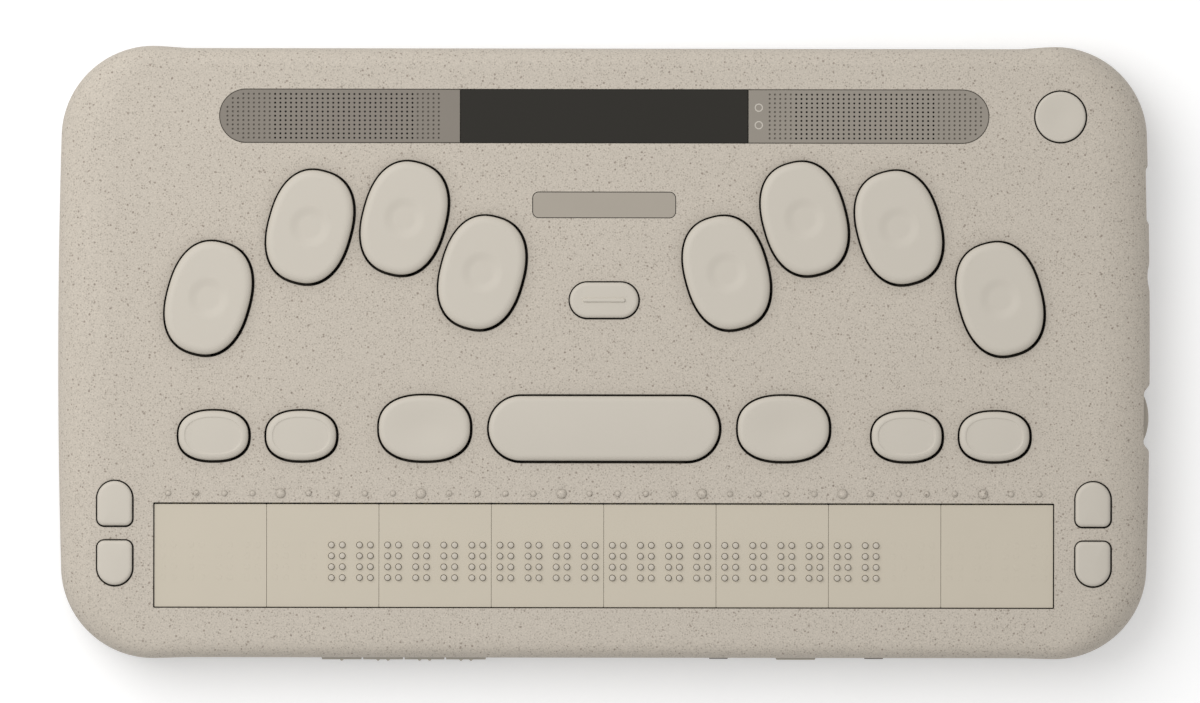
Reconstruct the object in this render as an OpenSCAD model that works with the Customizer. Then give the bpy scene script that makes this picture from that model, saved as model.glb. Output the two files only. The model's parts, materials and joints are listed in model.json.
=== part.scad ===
// Braille notetaker: a flat case with a braille line, a chorded keyboard and a small text window.
// Millimetres. +X is right, +Y is the back, +Z is up. The origin is on the table under the middle.

/* [Braille line] */
// Pitch of the braille cells
cell_pitch = 6.42; // [6.2:0.01:7]
// Cells in one display module
module_cells = 4; // [3:1:6]
// Modules in the line
module_count = 8; // [7:1:10]
// Pitch of the dots in a cell
dot_pitch = 2.49; // [2.2:0.01:2.7]
// Rows of dots in a cell
dot_rows = 4; // [3:1:4]
// Diameter of a braille pin
pin_d = 1.5; // [1.2:0.05:1.7]
// Room around a pin in its holes
pin_clear = 0.1; // [0.06:0.01:0.15]
// Height of a raised dot over its cap plate
dot_rise = 0.7; // [0.5:0.05:0.9]
// Height of the rounded tip of a pin
tip_h = 0.35; // [0.2:0.05:0.6]
// First cell with raised dots
first_raised = 7; // [5:1:9]
// Last cell with raised dots
last_raised = 26; // [24:1:27]
// Depth of the case opening for the cap plates
display_d = 23.8; // [20:0.1:30]
// Distance of the dot rows in front of the middle of that opening
dot_shift = 1.3; // [0:0.1:3]
// Thickness of a cap plate
cap_t = 1.6; // [1:0.1:2.4]
// Depth of the cap plates below the top of the case
cap_drop = 0.5; // [0.2:0.1:1]
// Seam between neighbouring cap plates
cap_seam = 0.2; // [0.1:0.05:0.4]
// Room between the cap plates and the case
cap_clear = 0.15; // [0.1:0.05:0.4]
// Diameter of a small index bump
index_d = 1.4; // [1:0.1:1.8]
// Diameter of the larger index bump at every fifth cell
index_big_d = 2.3; // [1.8:0.1:2.6]
// Distance of the index bumps behind the display opening
index_gap = 2.3; // [1.5:0.1:4]

/* [Keys] */
// Length of a dot key
dot_key_l = 25.9; // [22:0.1:28]
// Width of a dot key
dot_key_w = 18.6; // [15:0.1:19.5]
// Lean of the dot keys
dot_key_tilt = 15.4; // [8:0.1:20]
// Exponent of the oval key outlines
oval_power = 2.38; // [2:0.01:3]
// Length of the space bar
space_l = 52.6; // [45:0.1:60]
// Depth of the space bar
space_d = 14.75; // [12:0.05:17]
// Length of the backspace and enter keys
edit_l = 20.8; // [18:0.1:24]
// Depth of the backspace and enter keys
edit_d = 14.85; // [12:0.05:17]
// Length of a function key
func_l = 15.95; // [13:0.05:18]
// Depth of a function key
func_d = 11.3; // [9:0.1:13]
// Width of the rim around the pad of a function key
pad_rim = 1.4; // [1.2:0.1:2]
// Depth of the pad of a function key
pad_depth = 0.2; // [0.1:0.05:0.4]
// Length of the home key
home_l = 15.7; // [13:0.1:18]
// Depth of the home key
home_d = 8.1; // [7:0.1:10]
// Length of the raised bar on the home key
home_bar_l = 9.7; // [6:0.1:11]
// Width of the raised bar on the home key
home_bar_w = 0.9; // [0.6:0.1:1.2]
// Height of the raised bar on the home key
home_bar_h = 0.35; // [0.2:0.05:0.5]
// Width of a scroll key
scroll_w = 8; // [7.4:0.1:9]
// Length of a scroll key
scroll_l = 10.2; // [9:0.1:12]
// Corner radius at the flat end of a scroll key
scroll_r = 1.6; // [1:0.1:2.5]
// Diameter of the power button
power_d = 11.5; // [9:0.1:12.5]
// Gap around a key in the case
key_gap = 0.55; // [0.35:0.05:0.8]
// Height of the dot keys over the case
dot_key_rise = 1.5; // [0.8:0.1:2.5]
// Height of the other large keys over the case
key_rise = 1.2; // [0.6:0.1:2]
// Height of the scroll keys and the home key over the case
low_rise = 0.6; // [0.3:0.1:1]
// Height of the power button over the case
power_rise = 0.3; // [0.1:0.1:0.6]
// Rounding of the upper edge of a key
key_edge = 0.9; // [0.4:0.1:1.3]
// Diameter of the finger dimple in a dot key
dimple_d = 8; // [5:0.5:12]
// Depth of the finger dimple and of the dished keys
dish_depth = 0.35; // [0.2:0.05:0.6]

/* [Layout] */
// From the braille line to the end of the case
end_margin = 21.58; // [19:0.01:28]
// From the front of the case to the display opening
front_rim = 11.7; // [10.5:0.1:16]
// From the display opening to the lower row of keys
row_gap = 9.3; // [6:0.1:14]
// From the lower row of keys to the lowest dot key
arc_gap = 8.2; // [7:0.1:14]
// From the highest dot key to the speaker strip
strip_gap = 3.7; // [3.4:0.1:9]
// From the speaker strip to the back of the case
back_rim = 9.95; // [9:0.05:14]
// Clear width between the two inner dot keys
home_zone = 34.9; // [30:0.1:44]
// Clear width between neighbouring dot keys from the inner pair outwards, with overlaps negative
finger_gap = [-3.2, 0.6, 2.2]; // [-4:0.1:6]
// Rise of the inner three dot keys of a hand over the outer one
finger_rise = [5.9, 18.3, 16.3]; // [4:0.1:20]
// Gap from the space bar to the keys beside it
edit_gap = 3.2; // [2:0.1:6]
// Gap from those keys to the function keys
func_gap = 8.7; // [5:0.1:12]
// Gap between two function keys
func_pair_gap = 3; // [2:0.1:5]
// Gap from the display opening to the scroll keys
scroll_gap = 4.5; // [3.5:0.1:6]
// Gap between two scroll keys
scroll_pair_gap = 2.3; // [2:0.1:4]
// Gap from the speaker strip to the power button
power_gap = 10; // [8:0.1:11]
// From the power button to the end of the case
power_margin = 13.75; // [12:0.05:16]
// Gap from the lower row of keys to the home key
home_gap = 16.7; // [10:0.1:20]
// Gap from the home key to the nameplate
plate_gap = 14.2; // [9:0.1:18]
// Length of the nameplate
plate_l = 32.7; // [24:0.1:36]
// Depth of the nameplate
plate_d = 5.9; // [5:0.1:8]
// Corner radius of the nameplate
plate_r = 1.4; // [0.8:0.1:2]
// Thickness of the nameplate
plate_t = 0.6; // [0.4:0.1:1]
// Length of the speaker strip
strip_l = 175.9; // [165:0.1:180]
// Depth of the speaker strip
strip_d = 12.3; // [11:0.1:13]
// Thickness of the speaker strip
strip_t = 1.5; // [1:0.1:1.8]
// Ledge under the edge of the speaker strip
strip_ledge = 1.5; // [1:0.1:2]
// Length of the dark window
window_l = 65.8; // [50:0.1:70]
// Pitch of the speaker holes along the strip
hole_pitch_x = 1.22; // [1.1:0.01:1.6]
// Pitch of the speaker holes across the strip
hole_pitch_y = 1; // [0.9:0.01:1.3]
// Diameter of a speaker hole
hole_d = 0.5; // [0.4:0.05:0.7]
// From the dark window to the first speaker hole
hole_start = 5.2; // [4:0.1:7]
// Rim without speaker holes along the edge of the strip
hole_rim = 0.8; // [0.6:0.1:1.2]
// Diameter of a status light
light_d = 2; // [1.5:0.1:2.4]
// From the dark window to the status lights
light_gap = 2.4; // [2:0.1:3]
// Distance between the two status lights
light_pitch = 4; // [3:0.1:5]

/* [Case] */
// Corner radius of the case
corner_r = 21; // [18:0.5:26]
// Wall of the case
wall = 2.2; // [1.8:0.1:2.6]
// Thickness of the top of the case
roof = 2.3; // [2.1:0.1:3]
// Height of the upper shell
lid_h = 7.5; // [6.8:0.1:8.2]
// Width of the rounded shoulder at the ends
shoulder_x = 13; // [8:0.5:14]
// Width of the rounded shoulder at the front and back
shoulder_y = 5.5; // [4:0.1:7]
// Width by which the inside of the end shoulders is fuller
shoulder_ease = 5; // [3:0.1:6]
// Width of the rounded belly at the ends
belly_x = 7; // [5:0.1:8]
// Width of the rounded belly at the front and back
belly_y = 4; // [3:0.1:5]
// Height of the rounded belly
belly_h = 7; // [5:0.1:8]
// Size by which the inside of the belly is fuller
belly_ease = 2.8; // [2.6:0.1:2.9]
// Bulge of the ends of the case
side_bulge = 0.7; // [0.3:0.1:1.5]
// Depth by which the front and back are drawn in between the corners
edge_dip = 0.5; // [0.2:0.1:1]
// Length over which they are drawn in
dip_ramp = 9; // [6:0.5:14]
// Diameter of a rubber foot
foot_d = 12; // [8:0.5:14]
// Height of a rubber foot below the case
foot_h = 1; // [0.6:0.1:2]
// Depth of the recess that holds a rubber foot
foot_sink = 0.6; // [0.4:0.1:1]
// Distance of the feet from the ends of the case
foot_in_x = 32; // [28:1:45]
// Distance of the feet from the front and back of the case
foot_in_y = 14; // [13:0.5:20]
// Diameter of a case screw
case_screw_d = 2; // [1.6:0.1:2.3]
// Diameter of the boss around a case screw
case_boss_d = 5.4; // [5:0.1:5.8]
// Distance of the corner screws from the ends of the case
screw_in_x = 14.8; // [14:0.1:16]
// Distance of the corner screws from the front and back of the case
screw_in_y = 10.1; // [9.5:0.1:11]

/* [Edge controls] */
// Width of a button on the front edge
media_w = 9.05; // [8:0.05:9.2]
// Pitch of the media buttons
media_pitch = 9.5; // [9.4:0.05:11]
// Middle of the media buttons along the front edge
media_x = -45.8; // [-55:0.1:-38]
// Middle of the single front button
front_button_x = 44; // [42:0.1:46]
// Middle of the two slide switches
slider_x = [26.3, 61.9]; // [25:0.1:63]
// Width of a slide switch knob
slider_w = 4.4; // [3.5:0.1:5]
// Travel of a slide switch to each side
slider_travel = 2; // [1:0.1:2.4]
// Height of the front controls
control_h = 5; // [4:0.1:5.4]
// Middle of the edge controls below the top of the lower shell
control_drop = 3.5; // [3.3:0.1:4]
// Reach of the front controls out of the case
control_out = 0.8; // [0.5:0.1:1.5]
// Room around the edge controls
control_gap = 0.25; // [0.2:0.05:0.4]
// Middle of the volume rocker along the right end
rocker_y = -14.8; // [-17:0.1:-12]
// Length of the volume rocker
rocker_l = 10.7; // [9:0.1:12]
// Radius of the outer face of the volume rocker
rocker_r = 12.5; // [10:0.5:20]
// Length of the scoop around the volume rocker
scoop_l = 15; // [13.5:0.1:18]
// Depth of the scoop around the volume rocker
scoop_depth = 1.4; // [1:0.1:1.6]
// Diameter of the pivot of the volume rocker
pivot_d = 2.4; // [2:0.1:2.6]
// Middle of the wide serial port along the right end
usb_a_y = 36.2; // [34:0.1:38]
// Middle of the headphone jack along the right end
jack_y = 17.5; // [15:0.1:20]
// Bore of the headphone jack
jack_bore_d = 3.6; // [3.55:0.05:3.8]
// Middle of the small serial port along the back
usb_c_x = 60; // [52:0.5:70]

/* [Inside] */
// Length of the battery pack
battery_l = 96; // [80:1:100]
// Width of the battery pack
battery_w = 46; // [36:1:48]
// Height of the battery pack
battery_h = 6; // [4:0.1:8]
// Air over the battery pack
battery_air = 1; // [1:0.1:2]
// Thickness of the key board
board_t = 1.6; // [1.2:0.1:2]
// Thickness of the rubber sheet under the keys
mat_t = 0.8; // [0.6:0.1:1.2]
// Height of a rubber dome
dome_h = 2.4; // [2:0.1:3]
// Diameter of the foot of a rubber dome
dome_d = 6.4; // [5:0.1:6.8]
// Diameter of the stem under a key
stem_d = 3.6; // [3:0.1:4.4]
// Length of the stem under a key
stem_l = 1; // [0.8:0.1:1.6]
// Thickness of the tabs that keep a key in the case
tab_t = 1.5; // [1:0.1:2]
// Reach of those tabs under the case
tab_reach = 0.8; // [0.5:0.1:1]
// Play of a key under the case
key_lash = 0.2; // [0.1:0.05:0.4]
// Free length of the piezo reeds
reed_l = 42; // [34:0.5:46]
// Thickness of a piezo reed
reed_t = 0.4; // [0.3:0.05:0.5]
// Spacing of the piezo reeds in height
reed_step = 1; // [0.8:0.05:1.2]
// Side gap between two piezo reeds
reed_gap = 0.55; // [0.4:0.05:0.7]
// Depth of a terminal block
block_d = 5; // [4:0.1:6]
// Thickness of the backplane under the braille modules
backplane_t = 1.2; // [1:0.1:1.6]
// Height of the posts under the backplane
backplane_lift = 1; // [0.9:0.1:2]
// Thickness of the main board
main_t = 1.2; // [1:0.1:1.6]
// Height of the posts under the main board
main_lift = 1.6; // [1.4:0.1:2]
// Diameter of a board screw
board_screw_d = 1.8; // [1.4:0.1:1.9]
// Length of a speaker
speaker_l = 38; // [30:1:44]
// Height of a speaker
speaker_h = 5; // [4:0.1:6]
// Thickness of the text panel
panel_t = 2.2; // [1.6:0.1:3]

/* [Hidden] */
$fn = 48;
oval_steps = 48;
arc_steps = 16;
corner_steps = 10;
side_steps = 6;
dip_steps = 4;
lid_steps = 8;
lining_steps = 4;
belly_steps = 5;
thin = 0.01;
over = 1;

// Clearances and small sizes shared by several pieces
fit = 0.1;
screw_clear = 0.05;
reed_clear = 0.1;
reed_lift = 0.3;
reed_air = 1.1;
reed_over = 0.9;
rest_clear = 0.05;
board_gap = 0.8;
ribbon_t = 0.3;

// Heights from the table up
underside_z = foot_h;
floor_z = underside_z + wall;
backplane_z = floor_z + backplane_lift;
reed_z = backplane_z + backplane_t + reed_lift;
reed_stack = (dot_rows - 1) * reed_step + reed_t;
board_z = max(floor_z + battery_h + battery_air, reed_z + reed_stack + reed_air);
mat_z = board_z + board_t;
sheet_z = mat_z + mat_t;
dome_z = sheet_z + dome_h;
tab_z = dome_z + stem_l;
roof_z = tab_z + tab_t + key_lash;
top_z = roof_z + roof;
split_z = top_z - lid_h;
cap_top_z = top_z - cap_drop;
cap_z = cap_top_z - cap_t;
strip_z = top_z - strip_t;
main_z = floor_z + main_lift;
main_top_z = main_z + main_t;
control_z = split_z - control_drop;

// Braille line
cell_count = module_cells * module_count;
module_w = module_cells * cell_pitch;
display_w = module_count * module_w;
raised_runs = 5;
run_cells = ceil((last_raised - first_raised + 1) / raised_runs);

// Outlines of the keys, each as points for a given inset
function superoval(a, b) = [
    for (i = [0:oval_steps - 1])
        let (c = cos(360 * i / oval_steps), s = sin(360 * i / oval_steps))
            [a * sign(c) * pow(abs(c), 2 / oval_power), b * sign(s) * pow(abs(s), 2 / oval_power)]
];
function arc(x, y, r, from, to) = [
    for (i = [0:arc_steps])
        let (a = from + (to - from) * i / arc_steps)
            [x + r * cos(a), y + r * sin(a)]
];
function stadium(l, d) =
    concat(arc((l - d) / 2, 0, d / 2, -90, 90), arc((d - l) / 2, 0, d / 2, 90, 270));
function round_box(l, d, r) = concat(
    arc(l / 2 - r, r - d / 2, r, -90, 0),
    arc(l / 2 - r, d / 2 - r, r, 0, 90),
    arc(r - l / 2, d / 2 - r, r, 90, 180),
    arc(r - l / 2, r - d / 2, r, 180, 270)
);
function arch(w, l, r) = concat(
    arc(w / 2 - r, r - l / 2, r, -90, 0),
    arc(0, l / 2 - w / 2, w / 2, 0, 180),
    arc(r - w / 2, r - l / 2, r, 180, 270)
);
function turned(points, angle) = [
    for (p = points)
        [p[0] * cos(angle) - p[1] * sin(angle), p[0] * sin(angle) + p[1] * cos(angle)]
];
dot_outline = function (inset) superoval(dot_key_w / 2 - inset, dot_key_l / 2 - inset);
edit_outline = function (inset) superoval(edit_l / 2 - inset, edit_d / 2 - inset);
func_outline = function (inset) superoval(func_l / 2 - inset, func_d / 2 - inset);
space_outline = function (inset) stadium(space_l - 2 * inset, space_d - 2 * inset);
home_outline = function (inset) stadium(home_l - 2 * inset, home_d - 2 * inset);
scroll_outline = function (inset)
    arch(scroll_w - 2 * inset, scroll_l - 2 * inset, max(scroll_r - inset, 0.3));

// Half extents of the opening for a leaning dot key
dot_hole = turned(dot_outline(-key_gap), dot_key_tilt);
dot_hole_x = max([for (p = dot_hole) p[0]]);
dot_hole_y = max([for (p = dot_hole) p[1]]);

// Depth of the case: the larger of what lies on its top and what lies inside it
row_d = max(space_d, edit_d, func_d) + 2 * key_gap;
arc_d = max(finger_rise) + 2 * dot_hole_y;
boss_gap = 0.6;
boss_rim = 0.4;
backplane_rim = 2;
battery_gap = [4, 5];
fence_t = 1.4;
first_row_d = front_rim + display_d / 2 - dot_shift + dot_pitch * (dot_rows - 1) / 2;
battery_d = battery_gap[1] + battery_w + fence_t + 2 * fit;
back_wall_d = case_boss_d + 2 * boss_rim + boss_gap + wall + edge_dip;
top_d = front_rim + display_d + row_gap + row_d + arc_gap + arc_d + strip_gap + strip_d + back_rim;
inner_d = first_row_d + reed_l + block_d + backplane_rim + battery_d + back_wall_d;
half_d = max(top_d, inner_d) / 2;
half_w = max(
    display_w / 2 + end_margin,
    strip_l / 2 + power_gap + power_d + 2 * key_gap + power_margin
);
corner_x = half_w - corner_r;
corner_y = half_d - corner_r;

// Places along the depth
display_y = -half_d + front_rim + display_d / 2;
display_back = display_y + display_d / 2;
display_front = display_y - display_d / 2;
index_y = display_back + index_gap;
row_y = display_back + row_gap + key_gap;
space_y = row_y + space_d / 2;
edit_y = row_y + edit_d / 2;
func_y = row_y + func_d / 2;
row_top = display_back + row_gap + row_d;
outer_key_y = row_top + arc_gap + dot_hole_y;
home_y = row_top + home_gap + home_d / 2 + key_gap;
plate_y = home_y + home_d / 2 + key_gap + plate_gap + plate_d / 2;
strip_y = half_d - back_rim - strip_d / 2;
scroll_y = [display_back, display_back - scroll_l - 2 * key_gap - scroll_pair_gap];

// Places along the width, on the right-hand side
dot_step = 2 * dot_hole_x;
dot_x1 = home_zone / 2 + dot_hole_x;
dot_x2 = dot_x1 + dot_step + finger_gap[0];
dot_x3 = dot_x2 + dot_step + finger_gap[1];
dot_x4 = dot_x3 + dot_step + finger_gap[2];
edit_x = space_l / 2 + edit_gap + edit_l / 2 + 2 * key_gap;
func_x1 = edit_x + edit_l / 2 + func_gap + func_l / 2 + 2 * key_gap;
func_x2 = func_x1 + func_l + func_pair_gap + 2 * key_gap;
scroll_x = display_w / 2 + scroll_gap + scroll_w / 2 + key_gap;
power_x = strip_l / 2 + power_gap + power_d / 2 + key_gap;
light_x = window_l / 2 + light_gap;
speaker_x = (strip_l + window_l) / 4;
speaker_d = strip_d + 0.8;
speaker_r = 3;
speaker_rim = 2.2;
cone_depth = 1;
panel_rim = [3, 1.6];
glass_rim = 2;
dot_tab_w = 8;
dome_skin = 0.2;
dome_crown = 0.8;

// Keys as [x, y], in the order of the dot numbers
dot_places = [
    [-dot_x1, outer_key_y + finger_rise[0]],
    [-dot_x2, outer_key_y + finger_rise[1]],
    [-dot_x3, outer_key_y + finger_rise[2]],
    [dot_x1, outer_key_y + finger_rise[0]],
    [dot_x2, outer_key_y + finger_rise[1]],
    [dot_x3, outer_key_y + finger_rise[2]],
    [-dot_x4, outer_key_y],
    [dot_x4, outer_key_y]
];
func_places = [for (x = [-func_x2, -func_x1, func_x1, func_x2]) [x, func_y]];
scroll_places = [for (x = [-scroll_x, scroll_x]) for (y = scroll_y) [x, y]];
space_stems = [[-space_l * 0.3, 0], [space_l * 0.3, 0]];
dome_places = concat(
    dot_places,
    [for (p = space_stems) [p[0], space_y]],
    [[-edit_x, edit_y], [edit_x, edit_y]],
    func_places,
    [[0, home_y], [power_x, strip_y]],
    scroll_places
);

// Screws that hold the key board, in clear spots between the keys
screw_tuck = 1.5;
screw_out = [4.5, 9.4];
key_screw_places = concat(
    [[0, (home_y + home_d / 2 + plate_y - plate_d / 2) / 2]],
    [for (s = [-1, 1]) [s * (edit_x + edit_l / 2 + func_gap / 2 + key_gap), row_top + arc_gap * 1.3]],
    [for (s = [-1, 1]) [s * (dot_x4 + dot_hole_x - screw_tuck), row_top + arc_gap / 2]],
    [for (s = [-1, 1])
        [s * (dot_x3 + dot_hole_x + screw_out[0]), outer_key_y + finger_rise[2] + screw_out[1]]]
);
board_boss_d = 4.4;
board_head_d = 3.4;
board_head_h = 0.8;
board_screw_l = 3;

// Case screws: one in each corner and two along the back
back_screw_gap = 7;
case_screw_places = concat(
    [for (sx = [-1, 1]) for (sy = [-1, 1]) [sx * (half_w - screw_in_x), sy * (half_d - screw_in_y)]],
    [for (sx = [-1, 1])
        [sx * (window_l / 2 + back_screw_gap), half_d - edge_dip - wall - case_boss_d / 2 - boss_gap]]
);
case_head_d = 4;
case_head_h = 1.4;
case_head_sink = 1.6;
case_head_z = underside_z + case_head_sink;
drive_d = 1.6;
drive_h = 0.8;
case_screw_grip = 4;

// Key board, with wings beside the display and one to the power button
board_rim = [3, 2.5, 1.9];
wing_gap = 2;
wing_wall_gap = 3.6;
wing_lap = 6;
power_rim = [0.8, 0.2];
board_x = dot_x4 + dot_hole_x + board_rim[0];
board_front = row_y - board_rim[1];
board_back = outer_key_y + max(finger_rise) + dot_hole_y + board_rim[2];
wing_x = [display_w / 2 + wing_gap, half_w - wall - wing_wall_gap];
wing_front = scroll_y[1] - scroll_l / 2 - wing_gap;
power_wing_x = min(power_x - dome_d, board_x - wing_lap);
power_wing = [power_x + dome_d / 2 + power_rim[0], strip_y + dome_d / 2 + power_rim[1]];
rocker_switch = [3, 3.2, 3];
switch_inset = 0.4;

// Braille modules
frame_wall = (cell_pitch - dot_pitch - (dot_pitch - reed_gap)) / 2 - cap_seam / 2 - reed_clear;
reed_w = dot_pitch - reed_gap;
first_row_y = -half_d + first_row_d;
block_y = first_row_y + reed_l;
guide_t = 1;
guide_lift = 3.6;
guide_z = board_z + guide_lift;
block_over = 0.2;
reed_root = 1;
backplane_back = block_y + block_d + backplane_rim;

// Battery in the back left, main board in the back right
battery_r = 3;
main_gap = [7, 3];
main_rim = 4;
main_far = [18, 12];
battery_y = backplane_back + battery_gap[1];
battery_x = -half_w + wall + belly_x + battery_gap[0];
main_x = [battery_x + battery_l + main_gap[0], half_w - wall - belly_x / 2];
main_y = [backplane_back + main_gap[1], half_d - wall - belly_y * 0.7];
fence_in = 8;
fence_side = [6, 18];

// Chips as [across, back, length, width, height] from the front left corner of the main board
chips = [[22, 24, 26, 26, 2.2], [52, 18, 14, 12, 1.4], [56, 40, 18, 8, 1.8]];

// Flat cables, with the length of their glued ends
key_cable = [12, 12];
plane_cable = [30, 16];
panel_cable_w = 10;
front_cable_w = 12;
lead_w = 4;
lead_rise = 1;
cable_tail = 5;
cable_fold = 4;
cable_lap = 2;
cable_lift = 0.2;

// Front edge
front_in_y = -(half_d - edge_dip - wall);
front_out_y = front_in_y - wall;
front_board_t = 1.2;
front_board_gap = 4.8;
front_board_y = front_in_y + front_board_gap;
switch_t = 1.3;
control_tab = 0.8;
control_tab_t = 1;
front_button_places = [for (i = [0:3]) media_x + (i - 1.5) * media_pitch];
front_board_rim = [3, 4];
front_board_x = [
    media_x - 2 * media_pitch - front_board_rim[0],
    slider_x[1] + slider_w + front_board_rim[1]
];
front_board_drop = 0.4;
front_post = [4, 1.4];
front_post_in = 8;
front_post_drop = 4;
front_switch = [6, 4];
plunger = [3, 2];
nub_d = 0.8;
nub_pitch = 2.3;
slider_trim = 0.6;
slider_back = 0.2;
slider_runner = 2;
slider_fork = [2, 2];

// Right end
function end_x(y) = half_w + side_bulge * (1 - pow(y / corner_y, 2));
usb_a = [14, 13.1, 5.7];
usb_c = [8.94, 7.5, 3.26];
usb_skin = 0.3;
usb_a_back = 1.5;
usb_a_tongue = [11, 1.8];
usb_c_tongue = [6.6, 0.7];
usb_c_recess = 0.3;
usb_c_back = 1;
tongue_gap = 1;
usb_recess = 0.6;
jack = [12, 6, 5];
jack_nose_d = 5;
jack_gap = 0.4;
jack_back = 1;
jack_recess = 0.5;
jack_z = main_top_z + jack[2] / 2;
rocker_in = 0.15;
rocker_tail = 2.9;
pivot_rim = 0.4;
rocker_side = 0.4;
lug_lap = 0.2;
rocker_x = end_x(rocker_y) - rocker_in;
rocker_in_x = half_w - wall - rocker_tail;
pivot_x = rocker_in_x + pivot_d / 2 + pivot_rim;
lug_t = 0.7;
lug_l = 6;

shell_colour = [0.76, 0.73, 0.68];
key_colour = [0.80, 0.77, 0.73];
cap_colour = [0.79, 0.75, 0.68];
grille_colour = [0.57, 0.54, 0.50];
dark_colour = [0.16, 0.16, 0.15];
board_colour = [0.10, 0.36, 0.22];
metal_colour = [0.75, 0.75, 0.77];
rubber_colour = [0.20, 0.20, 0.20];

// Case outline drawn in by ix at the ends and by iy at the front and back
function blend(t) = t * t * (3 - 2 * t);
function quarter(ix, iy) = concat(
    [for (i = [0:side_steps - 1]) let (t = i / side_steps)
        [half_w - ix + side_bulge * (1 - t * t), corner_y * t]],
    [for (i = [0:corner_steps]) let (a = 90 * i / corner_steps)
        [corner_x + (corner_r - ix) * cos(a), corner_y + (corner_r - iy) * sin(a)]],
    [for (i = [1:dip_steps]) let (t = i / dip_steps)
        [corner_x - dip_ramp * t, half_d - iy - edge_dip * blend(t)]]
);
function case_ring(ix, iy) =
    let (q = quarter(ix, iy), n = len(q))
        concat(
            q,
            [for (i = [n - 1:-1:0]) [-q[i][0], q[i][1]]],
            [for (i = [1:n - 1]) [-q[i][0], -q[i][1]]],
            [for (i = [n - 1:-1:1]) [q[i][0], -q[i][1]]]
        );

// Levels of the shells as [inset at the ends, inset at the front and back, height]
function rolled(x, y, inset, turn) = [inset + x * (1 - cos(turn)), inset + y * (1 - cos(turn))];
lid_levels = [
    for (k = [0:lid_steps])
        let (a = 90 * k / lid_steps)
            concat(rolled(shoulder_x, shoulder_y, 0, a), split_z + lid_h * sin(a))
];
lining_levels = concat(
    [[wall, wall, split_z - over]],
    [for (k = [0:lining_steps]) let (a = 90 * k / lining_steps)
        concat(
            rolled(shoulder_x - shoulder_ease, shoulder_y, wall, a),
            split_z + (lid_h - roof) * sin(a)
        )]
);
tub_levels = concat(
    [for (k = [belly_steps:-1:0]) let (a = 90 * k / belly_steps)
        concat(rolled(belly_x, belly_y, 0, a), underside_z + belly_h * (1 - sin(a)))],
    [[0, 0, split_z]]
);
hollow_levels = concat(
    [for (k = [lining_steps:-1:0]) let (a = 90 * k / lining_steps)
        concat(
            rolled(belly_x - belly_ease, belly_y - belly_ease, wall, a),
            floor_z + (belly_h - belly_ease) * (1 - sin(a))
        )],
    [[wall, wall, split_z + over]]
);

// Solid through rings of points, listed from the bottom to the top
module loft(rings) {
    n = len(rings[0]);
    last = len(rings) - 1;
    sides = [
        for (k = [0:last - 1])
            for (i = [0:n - 1])
                let (a = k * n + i, b = k * n + (i + 1) % n)
                    each [[a, a + n, b + n], [a, b + n, b]]
    ];
    bottom = [[for (i = [0:n - 1]) i]];
    top = [[for (i = [n - 1:-1:0]) last * n + i]];
    polyhedron([for (r = rings) each r], concat(bottom, sides, top), convexity = 6);
}
function ring_at(points, z) = [for (p = points) [p[0], p[1], z]];

module case_loft(levels) {
    loft([for (v = levels) ring_at(case_ring(v[0], v[1]), v[2])]);
}

// Vertical prism on an outline
module prism(points, from, to) {
    translate([0, 0, from])
        linear_extrude(to - from)
            polygon(points);
}

// Box from one corner to another
module span(a, b) {
    translate(a)
        cube(b - a);
}

// Places of all the openings in the upper shell
module key_openings() {
    low = split_z;
    high = top_z + over;
    for (i = [0:7])
        translate(dot_places[i])
            rotate(dot_places[i][0] < 0 ? -dot_key_tilt : dot_key_tilt)
                prism(dot_outline(-key_gap), low, high);
    translate([0, space_y])
        prism(space_outline(-key_gap), low, high);
    for (s = [-1, 1])
        translate([s * edit_x, edit_y])
            prism(edit_outline(-key_gap), low, high);
    for (p = func_places)
        translate(p)
            prism(func_outline(-key_gap), low, high);
    translate([0, home_y])
        prism(home_outline(-key_gap), low, high);
    for (i = [0:3])
        translate(scroll_places[i])
            rotate(i % 2 == 0 ? 0 : 180)
                prism(scroll_outline(-key_gap), low, high);
    translate([power_x, strip_y, low])
        cylinder(d = power_d + 2 * key_gap, h = high - low);
}

// Recesses on the right end that cut both shells
module end_recesses() {
    usb_x = end_x(usb_a_y) - usb_recess;
    room = usb_a[1] / 2 + 2 * control_gap;
    span([usb_x, usb_a_y - room, main_top_z - control_gap], [usb_x + 2, usb_a_y + room, top_z]);
    translate([end_x(jack_y) - jack_recess, jack_y, jack_z]) {
        rotate([0, 90, 0])
            cylinder(d = jack_nose_d + 2 * fit, h = 2);
        span([0, -jack_nose_d / 2 - fit, 0], [2, jack_nose_d / 2 + fit, top_z - jack_z]);
    }
    scoop_r = (pow(scoop_l / 2, 2) + pow(scoop_depth, 2)) / (2 * scoop_depth);
    translate([end_x(rocker_y) + scoop_r - scoop_depth, rocker_y, control_z - control_h / 2 - 1])
        cylinder(r = scoop_r, h = top_z - control_z + control_h, $fn = 96);
}

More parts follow.
